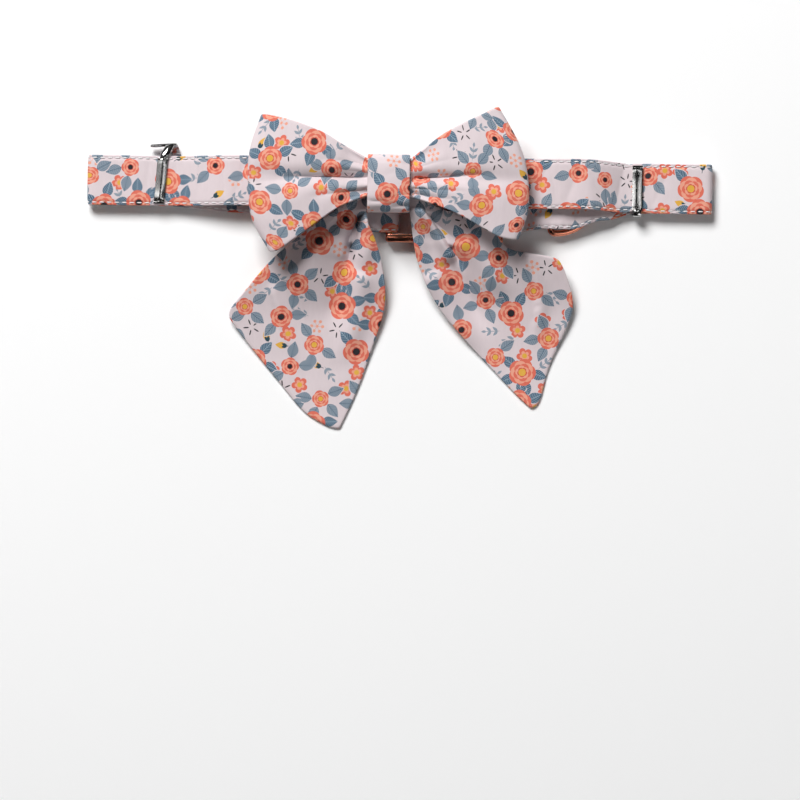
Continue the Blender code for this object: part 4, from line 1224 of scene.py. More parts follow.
# %% The bow's sizes and tables
BOW_RISE = 0.0022
BOW_Y = LINE_Y + BOW_RISE
PINCH_HEIGHT = 0.0146
PLEAT_DEPTH = 0.0010
TAIL_PLEAT_DEPTH = 0.0007
LOOP_DEPTH = 0.0100
CREASE_DEPTH = 0.0026
CREASE_SPREAD = 0.16
HOLLOW_FADE = 0.62
BACK_CREASE = 0.35
EDGE_CLOSING = 0.30
LOOP_REST = 0.72
PLEAT_WAVES = 2.5
PLEAT_REACH = 0.42
PLEAT_ROUNDNESS = 1.5
BACK_TUCK = 0.045
BOW_RIPPLE = 0.00035
BOW_RIPPLE_SIZE = 0.011
# Shares of a loop's reach over which its level, hollow, creases and softness set in, and the depth
# of the pinch dies away
LEVEL_REACH = 0.6
PINCH_DEPTH_REACH = 0.5
HOLLOW_REACH = 0.15
CREASE_REACH = 0.05
SOFT_REACH = 0.3
KNOT_HALF = KNOT_WIDTH / 2
HEAD_DEPTH = CLOTH_WALL + 2 * TAIL_PLEAT_DEPTH
LAYER_DEPTH = CLOTH_WALL + 2 * PLEAT_DEPTH
HEAD_Z = FRONT_Z + HALF_STRAP + GAP + HEAD_DEPTH / 2
BACK_LAYER_Z = HEAD_Z + HEAD_DEPTH / 2 + GAP + LAYER_DEPTH / 2
FRONT_LAYER_Z = BACK_LAYER_Z + LAYER_DEPTH + GAP
KNOT_ROOF = FRONT_LAYER_Z + LAYER_DEPTH / 2 + GAP

# Edges run from the knot to the outer fold, as (share of the reach, share of the rise or drop).
# The outer fold runs from the bottom edge to the top, as (place across, share of the reach).
LOOPS = {
    -1: {
        "reach": 0.0470,
        "rise": 0.0175,
        "drop": 0.0232,
        "top": [(0.0, 0.0), (0.24, 0.36), (0.40, 0.60), (0.72, 0.87), (1.0, 1.0)],
        "bottom": [(0.0, 0.0), (0.25, 0.20), (0.57, 0.60), (0.88, 0.94), (1.0, 1.0)],
        "fold": [(-1.0, 0.81), (-0.55, 0.965), (0.0, 1.0), (0.45, 0.985), (1.0, 0.895)],
    },
    1: {
        "reach": 0.0465,
        "rise": 0.0220,
        "drop": 0.0168,
        "top": [(0.0, 0.0), (0.26, 0.42), (0.52, 0.68), (0.80, 0.87), (1.0, 1.0)],
        "bottom": [(0.0, 0.0), (0.30, 0.26), (0.48, 0.46), (0.80, 0.90), (1.0, 1.0)],
        "fold": [(-1.0, 0.925), (-0.55, 1.0), (0.0, 1.0), (0.45, 0.93), (1.0, 0.74)],
    },
}

# Depth of a loop from the knot outwards: share of the reach, share of LOOP_DEPTH
LOOP_SWELL = [(0.0, 0.0), (0.12, 0.22), (0.30, 0.78), (0.52, 1.0), (0.75, 0.90), (1.0, 0.55)]

# Sharp creases: loop, place across at the knot and at the end, share of the reach where it ends,
# depth in metres, width as a share across
BOW_CREASES = [
    (-1, 0.02, -0.02, 0.80, 0.00270, 0.036),
    (-1, -0.03, -0.09, 1.10, 0.00080, 0.040),
    (-1, 0.60, 0.34, 0.46, 0.00110, 0.090),
    (-1, -0.62, -0.40, 0.54, 0.00120, 0.100),
    (-1, 0.30, 0.20, 0.34, 0.00080, 0.070),
    (1, 0.00, 0.10, 0.72, 0.00270, 0.034),
    (1, 0.42, 0.40, 0.40, 0.00100, 0.080),
    (1, -0.50, -0.30, 0.54, 0.00110, 0.090),
    (1, -0.80, -0.62, 0.40, 0.00090, 0.080),
]
print(f"knot roof at z = {KNOT_ROOF * 1000:.2f} mm")


# %% A point of a loop
def pleat(across):
    """Height of the pinched cloth's pleats: narrow valleys between rounded folds."""
    return PLEAT_DEPTH * (1 - 2 * abs(math.cos(math.pi * PLEAT_WAVES * across / 2)) ** PLEAT_ROUNDNESS)


def sharp_creases(side, share, across):
    depth = 0.0
    for loop, start, end, until, deep, width in BOW_CREASES:
        if loop == side and share < until:
            along = share / until
            line = start + (end - start) * along
            fade = risen(share, CREASE_REACH) * (1 - along**2)
            depth += deep * crease(abs(across - line), width) * fade
    return depth


def loop_height(share, across, layer, side):
    middle = (FRONT_LAYER_Z + BACK_LAYER_Z) / 2
    rest = FRONT_Z + HALF_STRAP + LOOP_DEPTH * LOOP_REST
    middle += (rest - middle) * risen(share, LEVEL_REACH)
    pinch = (FRONT_LAYER_Z - BACK_LAYER_Z) / 2
    swell = read_table(LOOP_SWELL, share) * LOOP_DEPTH / 2
    half = pinch * (1 - risen(share, PINCH_DEPTH_REACH)) + swell * (1 - EDGE_CLOSING * across**2)
    hollow = CREASE_DEPTH * math.exp(-((across / CREASE_SPREAD) ** 2))
    hollow *= risen(share, HOLLOW_REACH) * (1 - HOLLOW_FADE * share)
    hollow += sharp_creases(side, share, across)
    if layer < 0:
        hollow *= BACK_CREASE
    seed = 5.0 + side + 0.3 * layer
    soft = BOW_RIPPLE * ripple(share * 0.05, across * 0.03, BOW_RIPPLE_SIZE, seed)
    gathers = pleat(across) * (1 - risen(share, PLEAT_REACH))
    return middle + layer * (half - hollow) + gathers + soft * risen(share, SOFT_REACH)


def loop_point(share, across, layer, side):
    """A point of a loop's cloth. layer runs from +1, the front layer, to -1, the back one."""
    loop = LOOPS[side]
    tuck = 1 - BACK_TUCK * (1 - layer) / 2 * risen(share, SOFT_REACH)
    top = PINCH_HEIGHT / 2 + loop["rise"] * smooth_reading(loop["top"], share)
    low = PINCH_HEIGHT / 2 + loop["drop"] * smooth_reading(loop["bottom"], share)
    far = smooth_reading(loop["fold"], across)
    x = BOW_X + side * (KNOT_HALF + loop["reach"] * share * (1 + (far - 1) * share))
    y = BOW_Y + (top if across > 0 else low) * across * tuck
    return Vector((x, y, loop_height(share, across, layer, side)))


# %% Rows of the whole bow
BOW_ACROSS = 55
LOOP_STATIONS = 26
LAST_STATION = 0.92
OUTER_ANGLES = (75, 60, 45, 30, 15, 0, -15, -30, -45, -60, -75)
PINCH_STATIONS = 9


def loop_rows(side):
    """Rows from the knot, out along the front layer, round the outer fold and back."""
    places = [-1 + 2 * i / (BOW_ACROSS - 1) for i in range(BOW_ACROSS)]
    shares = [LAST_STATION * (i + 0.5) / (LOOP_STATIONS - 0.5) for i in range(LOOP_STATIONS)]
    rows = [[loop_point(s, v, 1, side) for v in places] for s in shares]
    for angle in OUTER_ANGLES:
        lift = math.sin(math.radians(angle))
        share = LAST_STATION + (1 - LAST_STATION) * math.cos(math.radians(angle))
        row = []
        for v in places:
            front = loop_point(LAST_STATION, v, 1, side)
            back = loop_point(LAST_STATION, v, -1, side)
            point = loop_point(share, v, lift, side)
            point.z = (front.z + back.z) / 2 + lift * (front.z - back.z) / 2
            row.append(point)
        rows.append(row)
    rows += [[loop_point(s, v, -1, side) for v in places] for s in reversed(shares)]
    return rows


def pinch_rows(layer):
    """Rows of pleated cloth inside the knot, from its right side to its left."""
    level = FRONT_LAYER_Z if layer > 0 else BACK_LAYER_Z
    rows = []
    for i in range(PINCH_STATIONS):
        x = BOW_X + KNOT_HALF * (1 - 2 * i / (PINCH_STATIONS - 1))
        row = []
        for k in range(BOW_ACROSS):
            across = -1 + 2 * k / (BOW_ACROSS - 1)
            row.append(Vector((x, BOW_Y + across * PINCH_HEIGHT / 2, level + pleat(across))))
        rows.append(row)
    return rows


def cloth_area(rows, closed=False):
    """Area of a cloth from its middle surface."""
    grid = np.array([[tuple(p) for p in row] for row in rows])
    if closed:
        grid = np.concatenate([grid, grid[:1]])
    one, two = grid[1:, :-1] - grid[:-1, :-1], grid[:-1, 1:] - grid[:-1, :-1]
    return float(np.linalg.norm(np.cross(one, two), axis=2).sum())


def flat_size(places):
    """Width and length of the flat cloth that holds all these places."""
    flat = np.array(places).reshape(-1, 2)
    along, across = flat.max(axis=0) - flat.min(axis=0)
    return float(across), float(along)


bow_rows = pinch_rows(1) + loop_rows(-1) + pinch_rows(-1)[::-1] + loop_rows(1)[::-1]
bow_places = flat_places(bow_rows)
bow = cloth_piece("pinched_bow", bow_rows, bow_places, bow_cotton, closed=True)
bow_area = cloth_area(bow_rows, closed=True)
print("bow flat size:", [round(size * 1000) for size in flat_size(bow_places)], "mm")
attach(bow, ROOT)
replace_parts(bow, "bow")

# %% [markdown]
# ## The tails
#
# Each tail is a kite of cloth gathered at its head under the knot. Four smooth sides bound it, and
# every point inside is mixed from them. It falls from the knot over the buckle to the floor. Its
# folds are lines on the kite, and each line says how high the cloth stands on either side of it.

# %% The tails' sizes and tables
TAIL_HEAD = 0.0072
HEAD_LINE = -STRAP_WIDTH / 2
SHELF_LINE = -REAR_SWAY - BUCKLE_WIDTH / 2
SHELF_Z = KNOT_FLOOR + CLOTH_WALL / 2 + TAIL_PLEAT_DEPTH
FLOOR_Z = 0.0002 + CLOTH_WALL / 2

# Sides as shares of the tail's spread and reach, from the lower end of its head
TAILS = {
    "tail_left": {
        "side": -1,
        "spread": 0.0545,
        "reach": 0.0878,
        "inner": [
            (0.000, 0.000), (0.006, 0.024), (-0.006, 0.052), (-0.112, 0.224),
            (-0.147, 0.434), (-0.042, 0.663), (0.057, 0.842), (0.169, 0.998),
        ],
        "outer": [(0.341, 0.060), (0.659, 0.219), (0.919, 0.408), (0.983, 0.461)],
        "far": [
            (0.983, 0.461), (0.996, 0.490), (0.974, 0.523), (0.840, 0.631), (0.640, 0.780),
            (0.442, 0.923), (0.281, 0.985), (0.207, 1.000), (0.169, 0.998),
        ],
    },
    "tail_right": {
        "side": 1,
        "spread": 0.0655,
        "reach": 0.0786,
        "inner": [
            (0.000, 0.000), (0.004, 0.030), (0.008, 0.060), (0.047, 0.258),
            (0.148, 0.445), (0.304, 0.616), (0.634, 0.907), (0.751, 0.997),
        ],
        "outer": [
            (0.20, 0.000), (0.40, 0.030), (0.50, 0.085), (0.57, 0.170), (0.663, 0.203),
            (0.884, 0.232), (0.945, 0.291),
        ],
        "far": [
            (0.945, 0.291), (0.997, 0.424), (0.988, 0.541), (0.869, 0.776),
            (0.818, 0.940), (0.783, 0.992), (0.751, 0.997),
        ],
    },
}

# Fall of a tail from the buckle's edge to the surface: share of the way, share of the height
TAIL_FALL = [(0.0, 1.0), (0.22, 0.66), (0.45, 0.27), (0.70, 0.07), (1.0, 0.0)]
# Depth of the head's gathers from the knot down: share of the way, share of the depth
GATHER_FADE = [(0.0, 0.12), (0.06, 0.2), (0.18, 1.0), (0.42, 0.0)]

# Folds of a tail, in millimetres from the strap's middle line. A row says how high the cloth
# stands and how wide on the fold's left, then on its right, and gives the line of the fold.
TAIL_FOLDS = {
    "tail_left": [
        (-7.6, 1.9, -6.6, 1.5,
         [(-13.6, -6.2), (-16.0, -12.5), (-18.2, -19), (-19.6, -25), (-20.4, -36)]),
        (2.2, 2.6, 2.2, 2.6, [(-12.8, -8.0), (-12.6, -16), (-12.6, -24), (-13.4, -38)]),
        (-2.0, 1.6, 0.9, 3.0, [(-14.5, -5.0), (-24.0, -13), (-33.0, -22)]),
        (2.3, 5.0, 2.3, 5.0, [(-28.0, -18), (-36.0, -34), (-40.0, -54)]),
        (-1.7, 4.0, -1.7, 4.0, [(-21.0, -28), (-24.0, -44), (-28.0, -62)]),
        (2.0, 3.6, 2.0, 3.6, [(-15.0, -34), (-16.5, -52), (-24.0, -76)]),
        (1.4, 2.6, 0.3, 4.0, [(-52.0, -40), (-44.0, -64), (-36.0, -80)]),
    ],
    "tail_right": [
        (-4.3, 2.6, 3.2, 3.0, [(4.2, -4.2), (9.6, -10.6), (15.2, -18.0), (19.6, -24.6), (27.0, -36)]),
        (1.4, 2.2, 1.4, 2.2, [(4.0, -9.0), (8.0, -18.0), (12.0, -28.0)]),
        (-1.7, 1.8, 0.9, 3.0, [(4.6, -3.6), (16.0, -8.6), (27.0, -15.0)]),
        (2.9, 3.6, 2.9, 4.4, [(25.0, -20.0), (35.0, -31.0), (44.0, -48.0)]),
        (-2.3, 3.6, -2.3, 3.6, [(20.0, -28.0), (27.0, -42.0), (38.0, -60.0)]),
        (2.2, 3.4, 2.2, 3.4, [(12.0, -34.0), (22.0, -52.0), (38.0, -72.0)]),
        (1.7, 3.0, 0.3, 4.0, [(50.0, -26.0), (56.0, -46.0), (52.0, -66.0)]),
    ],
}
FOLD_EDGE = 0.00035
FOLD_SPREAD = 1.4
FOLD_START = 0.10
FOLD_END = 0.45


# %% Folds along lines
def beside_line(spot, line):
    """Distance from a line of points, positive on its left, and the share of the way along it."""
    whole = sum((b - a).length for a, b in zip(line, line[1:]))
    nearest, way, travelled = math.inf, 0.0, 0.0
    for a, b in zip(line, line[1:]):
        run = b - a
        share = min(max((spot - a).dot(run) / run.length_squared, 0.0), 1.0)
        off = spot - a - run * share
        if off.length < abs(nearest):
            nearest = math.copysign(off.length, run.x * off.y - run.y * off.x)
            way = (travelled + share * run.length) / whole
        travelled += run.length
    return nearest, way


def fold_lines(name):
    """The folds of a tail in metres, each line made smooth."""
    folds = []
    for left, left_width, right, right_width, points in TAIL_FOLDS[name]:
        line = smooth_line([Vector(p) / 1000 for p in points], 4 * len(points))
        folds.append([value / 1000 for value in (left, left_width, right, right_width)] + [line])
    return folds


def fold_height(folds, spot):
    total = 0.0
    for left, left_width, right, right_width, line in folds:
        distance, way = beside_line(spot, line)
        reach = 4 * max(left_width, right_width)
        if abs(distance) > reach:
            continue
        on_left = 0.5 + 0.5 * math.tanh(distance / FOLD_EDGE)
        height = left * math.exp(-((distance / left_width) ** 2) / FOLD_SPREAD) * on_left
        height += right * math.exp(-((distance / right_width) ** 2) / FOLD_SPREAD) * (1 - on_left)
        total += height * risen(way, FOLD_START) * risen(1 - way, FOLD_END)
    return total


# %% Rows of a tail
TAIL_DOWN = 76
TAIL_ACROSS = 54
ROW_CROWDING = 1.35
HEAD_ROWS = 5
TAIL_SLOPE = 0.72
TAIL_RIPPLE = 0.00025
TAIL_RIPPLE_SIZE = 0.009
BUCKLE_MARGIN = 0.002
SHELF_MARGIN = 0.001
# How far past the front strand's edge a tail stays up, and the distance in which it may then drop
EDGE_CLEARANCE = 0.0010
EDGE_DROP = 0.0022


def tail_height(y, reach):
    if y > HEAD_LINE:
        return HEAD_Z
    if y > SHELF_LINE:
        return HEAD_Z + (SHELF_Z - HEAD_Z) * ease((y - HEAD_LINE) / (SHELF_LINE - HEAD_LINE))
    fall = min((SHELF_LINE - y) / (TAIL_SLOPE * reach), 1.0)
    return FLOOR_Z + (SHELF_Z - FLOOR_Z) * smooth_reading(TAIL_FALL, fall)


def lowest_cloth(x, y):
    """The lowest that a tail may lie at a place: on either strand, on the buckle or on the floor."""
    over_buckle = x > tongue_low.x - BUCKLE_MARGIN
    carried = socket_high.z if over_buckle else SEWN_Z + HALF_STRAP
    rear = FLOOR_Z if y < SHELF_LINE - SHELF_MARGIN else carried + GAP + CLOTH_WALL / 2
    front = FRONT_Z + HALF_STRAP + GAP + CLOTH_WALL / 2
    past_edge = (-STRAP_WIDTH / 2 - EDGE_CLEARANCE - y) / EDGE_DROP
    return front + (rear - front) * ease(min(max(past_edge, 0.0), 1.0))


def highest_cloth(y):
    """The highest that a tail may lie under the bow, whose room its head's gathers already fill."""
    return HEAD_Z + HEAD_DEPTH / 2 - CLOTH_WALL / 2 if y > -STRAP_WIDTH / 2 else math.inf


def head_gather(across):
    return TAIL_PLEAT_DEPTH * math.cos(2 * math.pi * across)


def tail_rows(name):
    tail = TAILS[name]
    side, spread, reach = tail["side"], tail["spread"], tail["reach"]
    edge_x = BOW_X + side * (KNOT_HALF + GAP)
    inside = BOW_X + side * (GAP + CLOTH_WALL / 2)

    def fine(points, shares, start=()):
        corners = [Vector(p) for p in start]
        corners += [Vector((edge_x + side * spread * x, HEAD_LINE - reach * y)) for x, y in points]
        return even_line(smooth_line(corners, 20 * len(corners)), shares=shares)

    downs = [(j / (TAIL_DOWN - 1)) ** ROW_CROWDING for j in range(TAIL_DOWN)]
    places = [i / (TAIL_ACROSS - 1) for i in range(TAIL_ACROSS)]
    inner = fine(tail["inner"], downs)
    outer = fine(tail["outer"], downs, start=[(edge_x, HEAD_LINE + TAIL_HEAD)])
    far = fine(tail["far"], places)[::-1]
    folds = fold_lines(name)
    rows = []
    for i in range(HEAD_ROWS):
        share = i / HEAD_ROWS
        x = inside + (edge_x - inside) * share
        fade = 1 + (GATHER_FADE[0][1] - 1) * share
        heights = [HEAD_Z + head_gather(v) * fade for v in places]
        rows.append([Vector((x, HEAD_LINE + TAIL_HEAD * v, z)) for v, z in zip(places, heights)])
    for j, down in enumerate(downs):
        row = []
        for i, across in enumerate(places):
            spot = inner[j].lerp(outer[j], across) + down * (far[i] - far[0].lerp(far[-1], across))
            height = tail_height(spot.y, reach) + head_gather(across) * read_table(GATHER_FADE, down)
            height += fold_height(folds, spot)
            height += TAIL_RIPPLE * ripple(spot.x, spot.y, TAIL_RIPPLE_SIZE, side)
            height = max(height, lowest_cloth(spot.x, spot.y))
            row.append(Vector((spot.x, spot.y, min(height, highest_cloth(spot.y)))))
        rows.append(row)
    return [[p + Vector((0, LINE_Y, 0)) for p in row] for row in rows]


# %% Both tails
for node in TAILS:
    rows = tail_rows(node)
    places = [[(p.x, p.y) for p in row] for row in rows]
    piece = cloth_piece(f"{node}_cloth", rows, places, tail_cotton)
    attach(piece, ROOT)
    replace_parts(piece, node)
    cloth_area(rows)

# %% [markdown]
# ## The knot band
#
# A short band of the same cotton goes round the pinch, the heads of the tails and the strap. Its
# section is a rounded rectangle with a crown. It was pulled tight from below, so most of its flat
# creases lie at its lower end.

# %% The knot band
KNOT_CROWN = 0.0010
KNOT_CORNER = 0.0026
KNOT_LOW_CORNER = 0.0052
BAND_ACROSS = 25
BAND_STEP = 0.0007
CORNER_STEPS = 8
CROWN_FLATNESS = 2.2
BAND_RIPPLE = 0.00012
BAND_RIPPLE_SIZE = 0.005
BAND_SEED = 9.0
# Creases across the band: place in Y from its middle, slant, depth, width, in metres
BAND_CREASES = [
    (-0.0060, 0.22, 0.00055, 0.0009),
    (-0.0078, -0.14, 0.00085, 0.0008),
    (-0.0093, 0.10, 0.00070, 0.0007),
    (0.0086, -0.12, 0.00050, 0.0008),
    (0.0035, 0.40, 0.00022, 0.0018),
]


def arc(centre_x, centre_y, radius_x, radius_y, start, stop, steps):
    turn = [math.radians(start + (stop - start) * i / steps) for i in range(steps + 1)]
    return [(centre_x + radius_x * math.cos(a), centre_y + radius_y * math.sin(a)) for a in turn]


def band_section():
    """The band's middle line in Y and Z, once round."""
    half = STRAP_WIDTH / 2 + GAP + CLOTH_WALL / 2
    low, high = KNOT_FLOOR + CLOTH_WALL / 2, KNOT_ROOF + CLOTH_WALL / 2
    line = []
    corners = [
        (half, high, KNOT_CORNER, 0),
        (-half, high, KNOT_LOW_CORNER, 90),
        (-half, low, CLOTH_WALL, 180),
        (half, low, CLOTH_WALL, 270),
    ]
    for y, z, radius, start in corners:
        centre_y = y - math.copysign(radius, y)
        centre_z = z - math.copysign(radius, z - (low + high) / 2)
        corner = arc(centre_y, centre_z, radius, radius, start, start + 90, CORNER_STEPS)
        line += [Vector(point) for point in corner]
    return even_line(line + line[:1], spacing=BAND_STEP)[:-1], half, (low + high) / 2


def make_band():
    section, half, middle_z = band_section()
    rows = []
    for y, z in section:
        row = []
        for i in range(BAND_ACROSS):
            share = -1 + 2 * i / (BAND_ACROSS - 1)
            x = share * KNOT_HALF
            lift = 0.0
            if z > middle_z:
                lift = KNOT_CROWN * (1 - abs(share) ** CROWN_FLATNESS) * max(0.0, 1 - (y / half) ** 2)
                for place, slant, depth, width in BAND_CREASES:
                    lift -= depth * crease(abs(y - place - slant * x), width)
                lift += BAND_RIPPLE * ripple(x, y, BAND_RIPPLE_SIZE, BAND_SEED)
            row.append(Vector((BOW_X + x, LINE_Y + y, z + lift)))
        rows.append(row)
    return rows


band_rows = make_band()
band_places = flat_places(band_rows)
band = cloth_piece("knot_band_cloth", band_rows, band_places, knot_cotton, closed=True)
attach(band, ROOT)
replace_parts(band, "knot_band")
cloth_area(band_rows, closed=True)

# %% [markdown]
# ## The D-ring
#
# The ring is one bent wire: a straight bar held in the strap, two small corners and a bow. A curve
# with a round bevel is the natural tool for wire. Its points are turned and moved onto the joint's
# axis before it becomes a mesh, so that the piece itself stays unturned and the joint can swing it.

# %% The D-ring
RING_HALF = STRAP_WIDTH / 2 + GAP + RING_WIRE / 2
RING_CORNER = 0.0018
BOW_STEPS = 48


def make_ring():
    corner_y = RING_HALF - RING_CORNER
    line = arc(RING_CORNER, -corner_y, RING_CORNER, RING_CORNER, 180, 270, CORNER_STEPS)
    line += arc(RING_CORNER, 0, RING_REACH - RING_CORNER, RING_HALF, -90, 90, BOW_STEPS)[1:-1]
    line += arc(RING_CORNER, corner_y, RING_CORNER, RING_CORNER, 90, 180, CORNER_STEPS)
    tip = math.asin((RING_PIVOT.z - RING_WIRE / 2) / RING_REACH)
    placed = Matrix.Translation(RING_PIVOT) @ Matrix.Rotation(tip, 4, "Y")
    curve = seam_curve("ring_wire", [[placed @ Vector((x, y, 0)) for x, y in line]])
    curve.data.splines[0].use_cyclic_u = True
    curve.data.bevel_depth = RING_WIRE / 2
    curve.data.bevel_resolution = 6
    graph = bpy.context.evaluated_depsgraph_get()
    mesh = bpy.data.meshes.new_from_object(curve.evaluated_get(graph))
    bpy.data.objects.remove(curve)
    mesh.shade_smooth()
    return new_piece("ring_of_wire", mesh, rose_gold)


ring = make_ring()
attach(ring, RING_BODY)
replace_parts(ring, "d_ring")
print("ring faces:", len(ring.data.polygons))

# %% [markdown]
# ## The clips
#
# Each clip is a strip of spring steel bent round both strands. The strip's middle line is a short
# table, and its section is a flat with a low dome where it faces up, so that it catches the light
# as one long streak. The left clip shows its head above the strap: the strip narrows to a neck and
# turns over, and a small lip, which is a piece of its own, leaves the neck along the strap.

# %% The clips
CLIP_LEAN = 0.0058
CLIP_NECK = 0.0034
CLIP_HEAD_RISE = 0.0042
CLIP_BEND_RISE = 0.0004
CLIP_MIDDLE = 0.24
CLIP_DOME = 0.00045
# Place across the strap (share of its half width), height (share from the back leg to the front
# leg), rise past its edge (share of the head's), shift along it (share of the lean), share of the
# clip's width, which the neck keeps from going too narrow
CLIP_STRIP = [
    (-0.88, 1.09, 0.0, 0.00, 1.00),
    (-0.80, 1.00, 0.0, 0.02, 1.00),
    (-0.30, 1.00, 0.0, 0.10, 1.00),
    (0.80, 1.00, 0.0, 0.24, 1.00),
    (0.88, 1.04, 0.0, 0.30, 0.72),
    (1.04, 1.00, 0.1, 0.46, 0.64),
    (1.04, 0.78, 0.8, 0.72, 0.64),
    (1.04, 0.56, 1.0, 0.86, 0.64),
    (1.04, 0.30, 0.8, 0.98, 0.64),
    (1.04, 0.06, 0.2, 1.12, 0.72),
    (0.80, 0.00, 0.0, 1.16, 1.00),
    (-0.80, 0.00, 0.0, 1.16, 1.00),
]
STEPS_PER_ROW = 6
CLIP_LIP_LENGTH = 0.0088
CLIP_LIP_DEPTH = 0.0011
CLIP_LIP_WIDTH = 0.0034
LIP_DROP = 0.0007
LIP_ROW = 7
LIP_POINTS = 16
LIP_SQUARENESS = 0.5
# Sections of the lip: share of its length, share of its full size
LIP_SECTIONS = ((0.0, 0.55), (0.03, 0.85), (0.10, 1.0), (0.50, 1.0), (0.90, 1.0), (1.0, 0.8))
# Points over the steel's outer face and under its inner one, as shares of half its width
STEEL_OUTER = (-1, -0.97, -0.88, -0.6, -0.3, 0, 0.3, 0.6, 0.88, 0.97, 1)
STEEL_INNER = (0.97, 0.6, 0, -0.6, -0.97)
OUTER_LEVEL = 0.30
INNER_LEVEL = 0.45
STEEL_EDGE_ANGLE = 38


def clip_rings(side):
    """Sections of a clip's strip along its middle line. The left clip's head is above the strap."""
    left = side < 0
    back_z = CLIP_STEEL / 2
    front_z = FRONT_END_Z + HALF_STRAP + GAP + CLIP_STEEL / 2
    head = CLIP_HEAD_RISE if left else CLIP_BEND_RISE
    lean = CLIP_LEAN if left else 0
    points, widths = [], []
    for across, up, rise, shift, width in CLIP_STRIP:
        y = across * (STRAP_WIDTH / 2) + rise * head + (CLIP_STEEL / 2 if across > 1 else 0)
        x = side * CLIP_X + lean * (shift - CLIP_MIDDLE)
        points.append(Vector((x, LINE_Y - side * y, back_z + up * (front_z - back_z))))
        widths.append(Vector((max(width * CLIP_WIDTH, CLIP_NECK), 0, 0)))
    count = STEPS_PER_ROW * (len(points) - 1) + 1
    line, spans = smooth_line(points, count), smooth_line(widths, count)
    rings = []
    for i, middle in enumerate(line):
        run = line[min(i + 1, count - 1)] - line[max(i - 1, 0)]
        out = Vector((0, -run.z, run.y)).normalized() * -side
        rings.append(steel_section(middle, out, spans[i].x))
    return rings, line


def squared(turn):
    """A sine or a cosine pushed outwards, which makes a round section nearly square."""
    return math.copysign(abs(turn) ** LIP_SQUARENESS, turn)


def lip_rings(tip):
    """Sections of the left clip's lip, a thin strip that leaves the head along the strap."""
    low, high = tip.x - CLIP_LIP_LENGTH, tip.x + CLIP_NECK / 2
    top, bottom = tip.y + CLIP_STEEL / 2, tip.y - CLIP_LIP_DEPTH
    rings = []
    for share, full in LIP_SECTIONS:
        y = (top + bottom) / 2 - LIP_DROP * (1 - share)
        middle = Vector((low + share * (high - low), y, tip.z))
        ring = []
        for i in range(LIP_POINTS):
            angle = math.radians(360 * i / LIP_POINTS)
            deep = squared(math.cos(angle)) * (top - bottom) / 2
            wide = squared(math.sin(angle)) * CLIP_LIP_WIDTH / 2
            ring.append(middle + Vector((0, deep, wide)) * full)
        rings.append(ring)
    return rings


def steel_section(middle, out, width):
    """A strip with rounded edges and, but where it faces down, a low dome on its outer face."""
    dome = CLIP_DOME * max(out.z, 0.0)
    ring = []
    for share in STEEL_OUTER:
        lift = CLIP_STEEL * OUTER_LEVEL + dome * (1 - share**2) if abs(share) < 1 else 0.0
        ring.append(middle + Vector((share * width / 2, 0, 0)) + out * lift)
    for share in STEEL_INNER:
        ring.append(middle + Vector((share * width / 2, 0, 0)) - out * CLIP_STEEL * INNER_LEVEL)
    return ring


def bent_steel(name, rings):
    """A piece of the clips' steel that rides with the collar."""
    no_places = [[(0.0, 0.0)] * len(ring) for ring in rings]
    piece = skinned(name, rings, no_places, nickel, hard_edge=STEEL_EDGE_ANGLE)
    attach(piece, ROOT)
    return piece


for name, side in (("strap_clip_left", -1), ("strap_clip_right", 1)):
    rings, line = clip_rings(side)
    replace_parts(bent_steel(f"{name}_steel", rings), name)
    if side < 0:
        bent_steel("clip_lip_steel", lip_rings(line[LIP_ROW * STEPS_PER_ROW]))

# %% [markdown]
# ## The buckle
#
# The two halves of the buckle keep the shape of their solids. A solid's mesh is loose triangles, so
# a copy of each is merged, its flat faces are joined again, and its hard edges get a small bevel,
# as tumbled and plated castings have.

# %% The buckle
EDGE_ROUNDING = 0.0004
MERGE_DISTANCE = 0.000005
# Angles between two faces, in degrees: flat enough to join, sharp enough to round, and sharp
# enough to be shaded as an edge
FLAT_ANGLE = 1
ROUNDED_ANGLE = 60
PLATED_EDGE_ANGLE = 48


def tumbled(node, name):
    """A merged copy of a solid with softened edges."""
    bm = bmesh.new()
    bm.from_mesh(bpy.data.objects[node].data)
    bmesh.ops.remove_doubles(bm, verts=bm.verts, dist=MERGE_DISTANCE)
    flat = math.radians(FLAT_ANGLE)
    bmesh.ops.dissolve_limit(bm, angle_limit=flat, verts=bm.verts, edges=bm.edges)
    mesh = bpy.data.meshes.new(name)
    bm.to_mesh(mesh)
    bm.free()
    obj = new_piece(name, mesh, rose_gold)
    rounding = obj.modifiers.new("rounding", "BEVEL")
    rounding.width = EDGE_ROUNDING
    rounding.segments = 2
    rounding.limit_method = "ANGLE"
    rounding.angle_limit = math.radians(ROUNDED_ANGLE)
    return settled(obj, hard_edge=PLATED_EDGE_ANGLE)


for node in ("buckle_tongue", "buckle_socket"):
    half = tumbled(node, f"{node}_plated")
    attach(half, ROOT)
    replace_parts(half, node)

# %% [markdown]
# ## Floor, lights and camera
#
# The photograph looks straight down at a white surface under soft light from above the picture's
# top edge. A broad lamp stands there, and a weaker one fills from the other side. Polished steel
# shows only what is round it, so two thin lamps give the clips their streaks, and the studio is
# pale at the height of its walls and dark overhead. The Standard view shows the inks as they are.

# %% Floor
FLOOR_HALF = 1.5


def make_floor():
    mesh = bpy.data.meshes.new("floor")
    bm = bmesh.new()
    bmesh.ops.create_grid(bm, x_segments=1, y_segments=1, size=FLOOR_HALF)
    bm.to_mesh(mesh)
    bm.free()
    made, _, shader = new_material("pale_floor")
    shader.inputs["Base Color"].default_value = ink(252, 252, 252)
    shader.inputs["Roughness"].default_value = 0.9
    shader.inputs["Specular IOR Level"].default_value = 0.1
    return new_piece("floor", mesh, made)


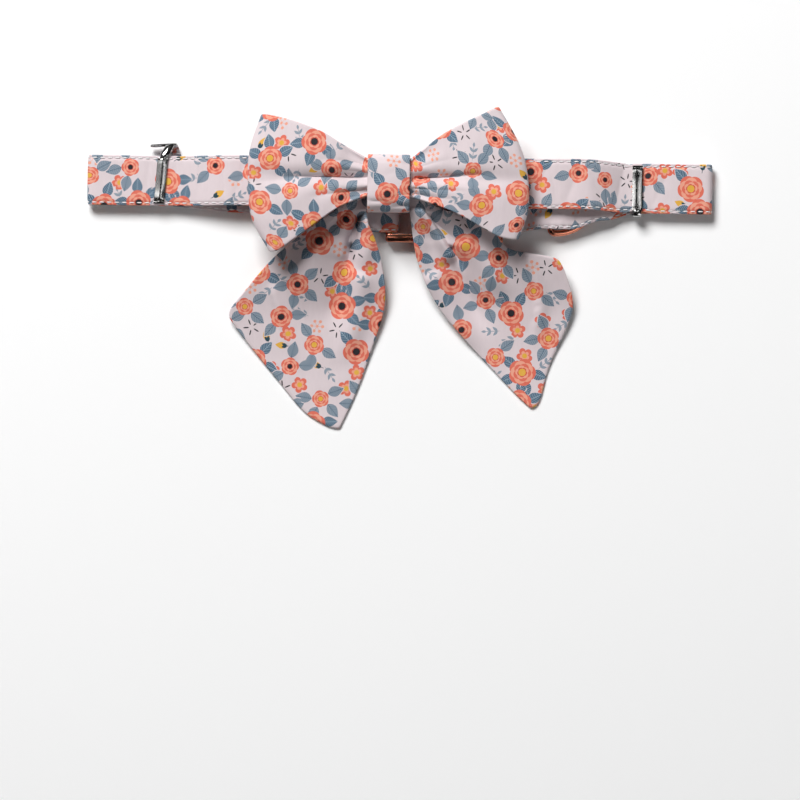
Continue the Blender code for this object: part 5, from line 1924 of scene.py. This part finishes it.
floor = make_floor()
print(f"floor: {2 * FLOOR_HALF:.0f} m wide")

# %% Lights
# Name, place, width and length of the lamp, power in watts
LAMPS = [
    ("key_lamp", (-0.62, 1.30, 1.50), (0.9, 0.8), 55.0),
    ("fill_lamp", (0.85, -0.75, 1.10), (0.9, 0.9), 3.4),
    ("left_strip", (-0.62, 0.05, 1.20), (0.05, 0.9), 0.40),
    ("right_strip", (0.46, 0.05, 1.25), (0.03, 0.9), 0.22),
]


def make_lamp(name, place, size, power):
    lamp = bpy.data.lights.new(name, "AREA")
    lamp.shape = "RECTANGLE"
    lamp.size, lamp.size_y = size
    lamp.energy = power
    obj = bpy.data.objects.new(name, lamp)
    obj.location = place
    obj.rotation_euler = (-Vector(place)).to_track_quat("-Z", "Y").to_euler()
    bpy.context.scene.collection.objects.link(obj)


for row in LAMPS:
    make_lamp(*row)
print("lamps:", ", ".join(row[0] for row in LAMPS))


# %% The studio round the table
WALL_LIGHT = 0.40
CEILING_LIGHT = 0.03
WALLS_END = 0.55
CEILING_START = 0.92


def make_world():
    """A studio that is pale at the height of its walls and dark overhead."""
    world = bpy.data.worlds.new("studio")
    world.use_nodes = True
    draw = Drawing(world.node_tree)
    back = world.node_tree.nodes["Background"]
    way = draw.node("ShaderNodeTexCoord").outputs["Generated"]
    height = draw.node("ShaderNodeSeparateXYZ")
    draw.put(way, height.inputs[0])
    fade = draw.node("ShaderNodeMapRange", interpolation_type="SMOOTHSTEP")
    draw.put(height.outputs["Z"], fade.inputs["Value"])
    fade.inputs["From Min"].default_value = WALLS_END
    fade.inputs["From Max"].default_value = CEILING_START
    fade.inputs["To Min"].default_value = WALL_LIGHT
    fade.inputs["To Max"].default_value = CEILING_LIGHT
    draw.put(fade.outputs["Result"], back.inputs["Strength"])
    bpy.context.scene.world = world


make_world()
bpy.context.scene.view_settings.view_transform = "Standard"
print("world:", bpy.context.scene.world.name)

# %% Camera
CAMERA_HEIGHT = 3.0
VIEW_WIDTH = 0.320
VIEW_CENTRE = (0.0014, -0.05304)
# How far the collar is turned in the photograph, in degrees
PHOTO_ROLL = 0.918
lens = bpy.data.cameras.new("camera")
lens.lens = lens.sensor_width * CAMERA_HEIGHT / VIEW_WIDTH
camera = bpy.data.objects.new("camera", lens)
camera.location = (*VIEW_CENTRE, CAMERA_HEIGHT)
camera.rotation_euler = (0, 0, math.radians(PHOTO_ROLL))
bpy.context.scene.collection.objects.link(camera)
bpy.context.scene.camera = camera
print(f"camera {CAMERA_HEIGHT} m above, lens {lens.lens:.0f} mm")
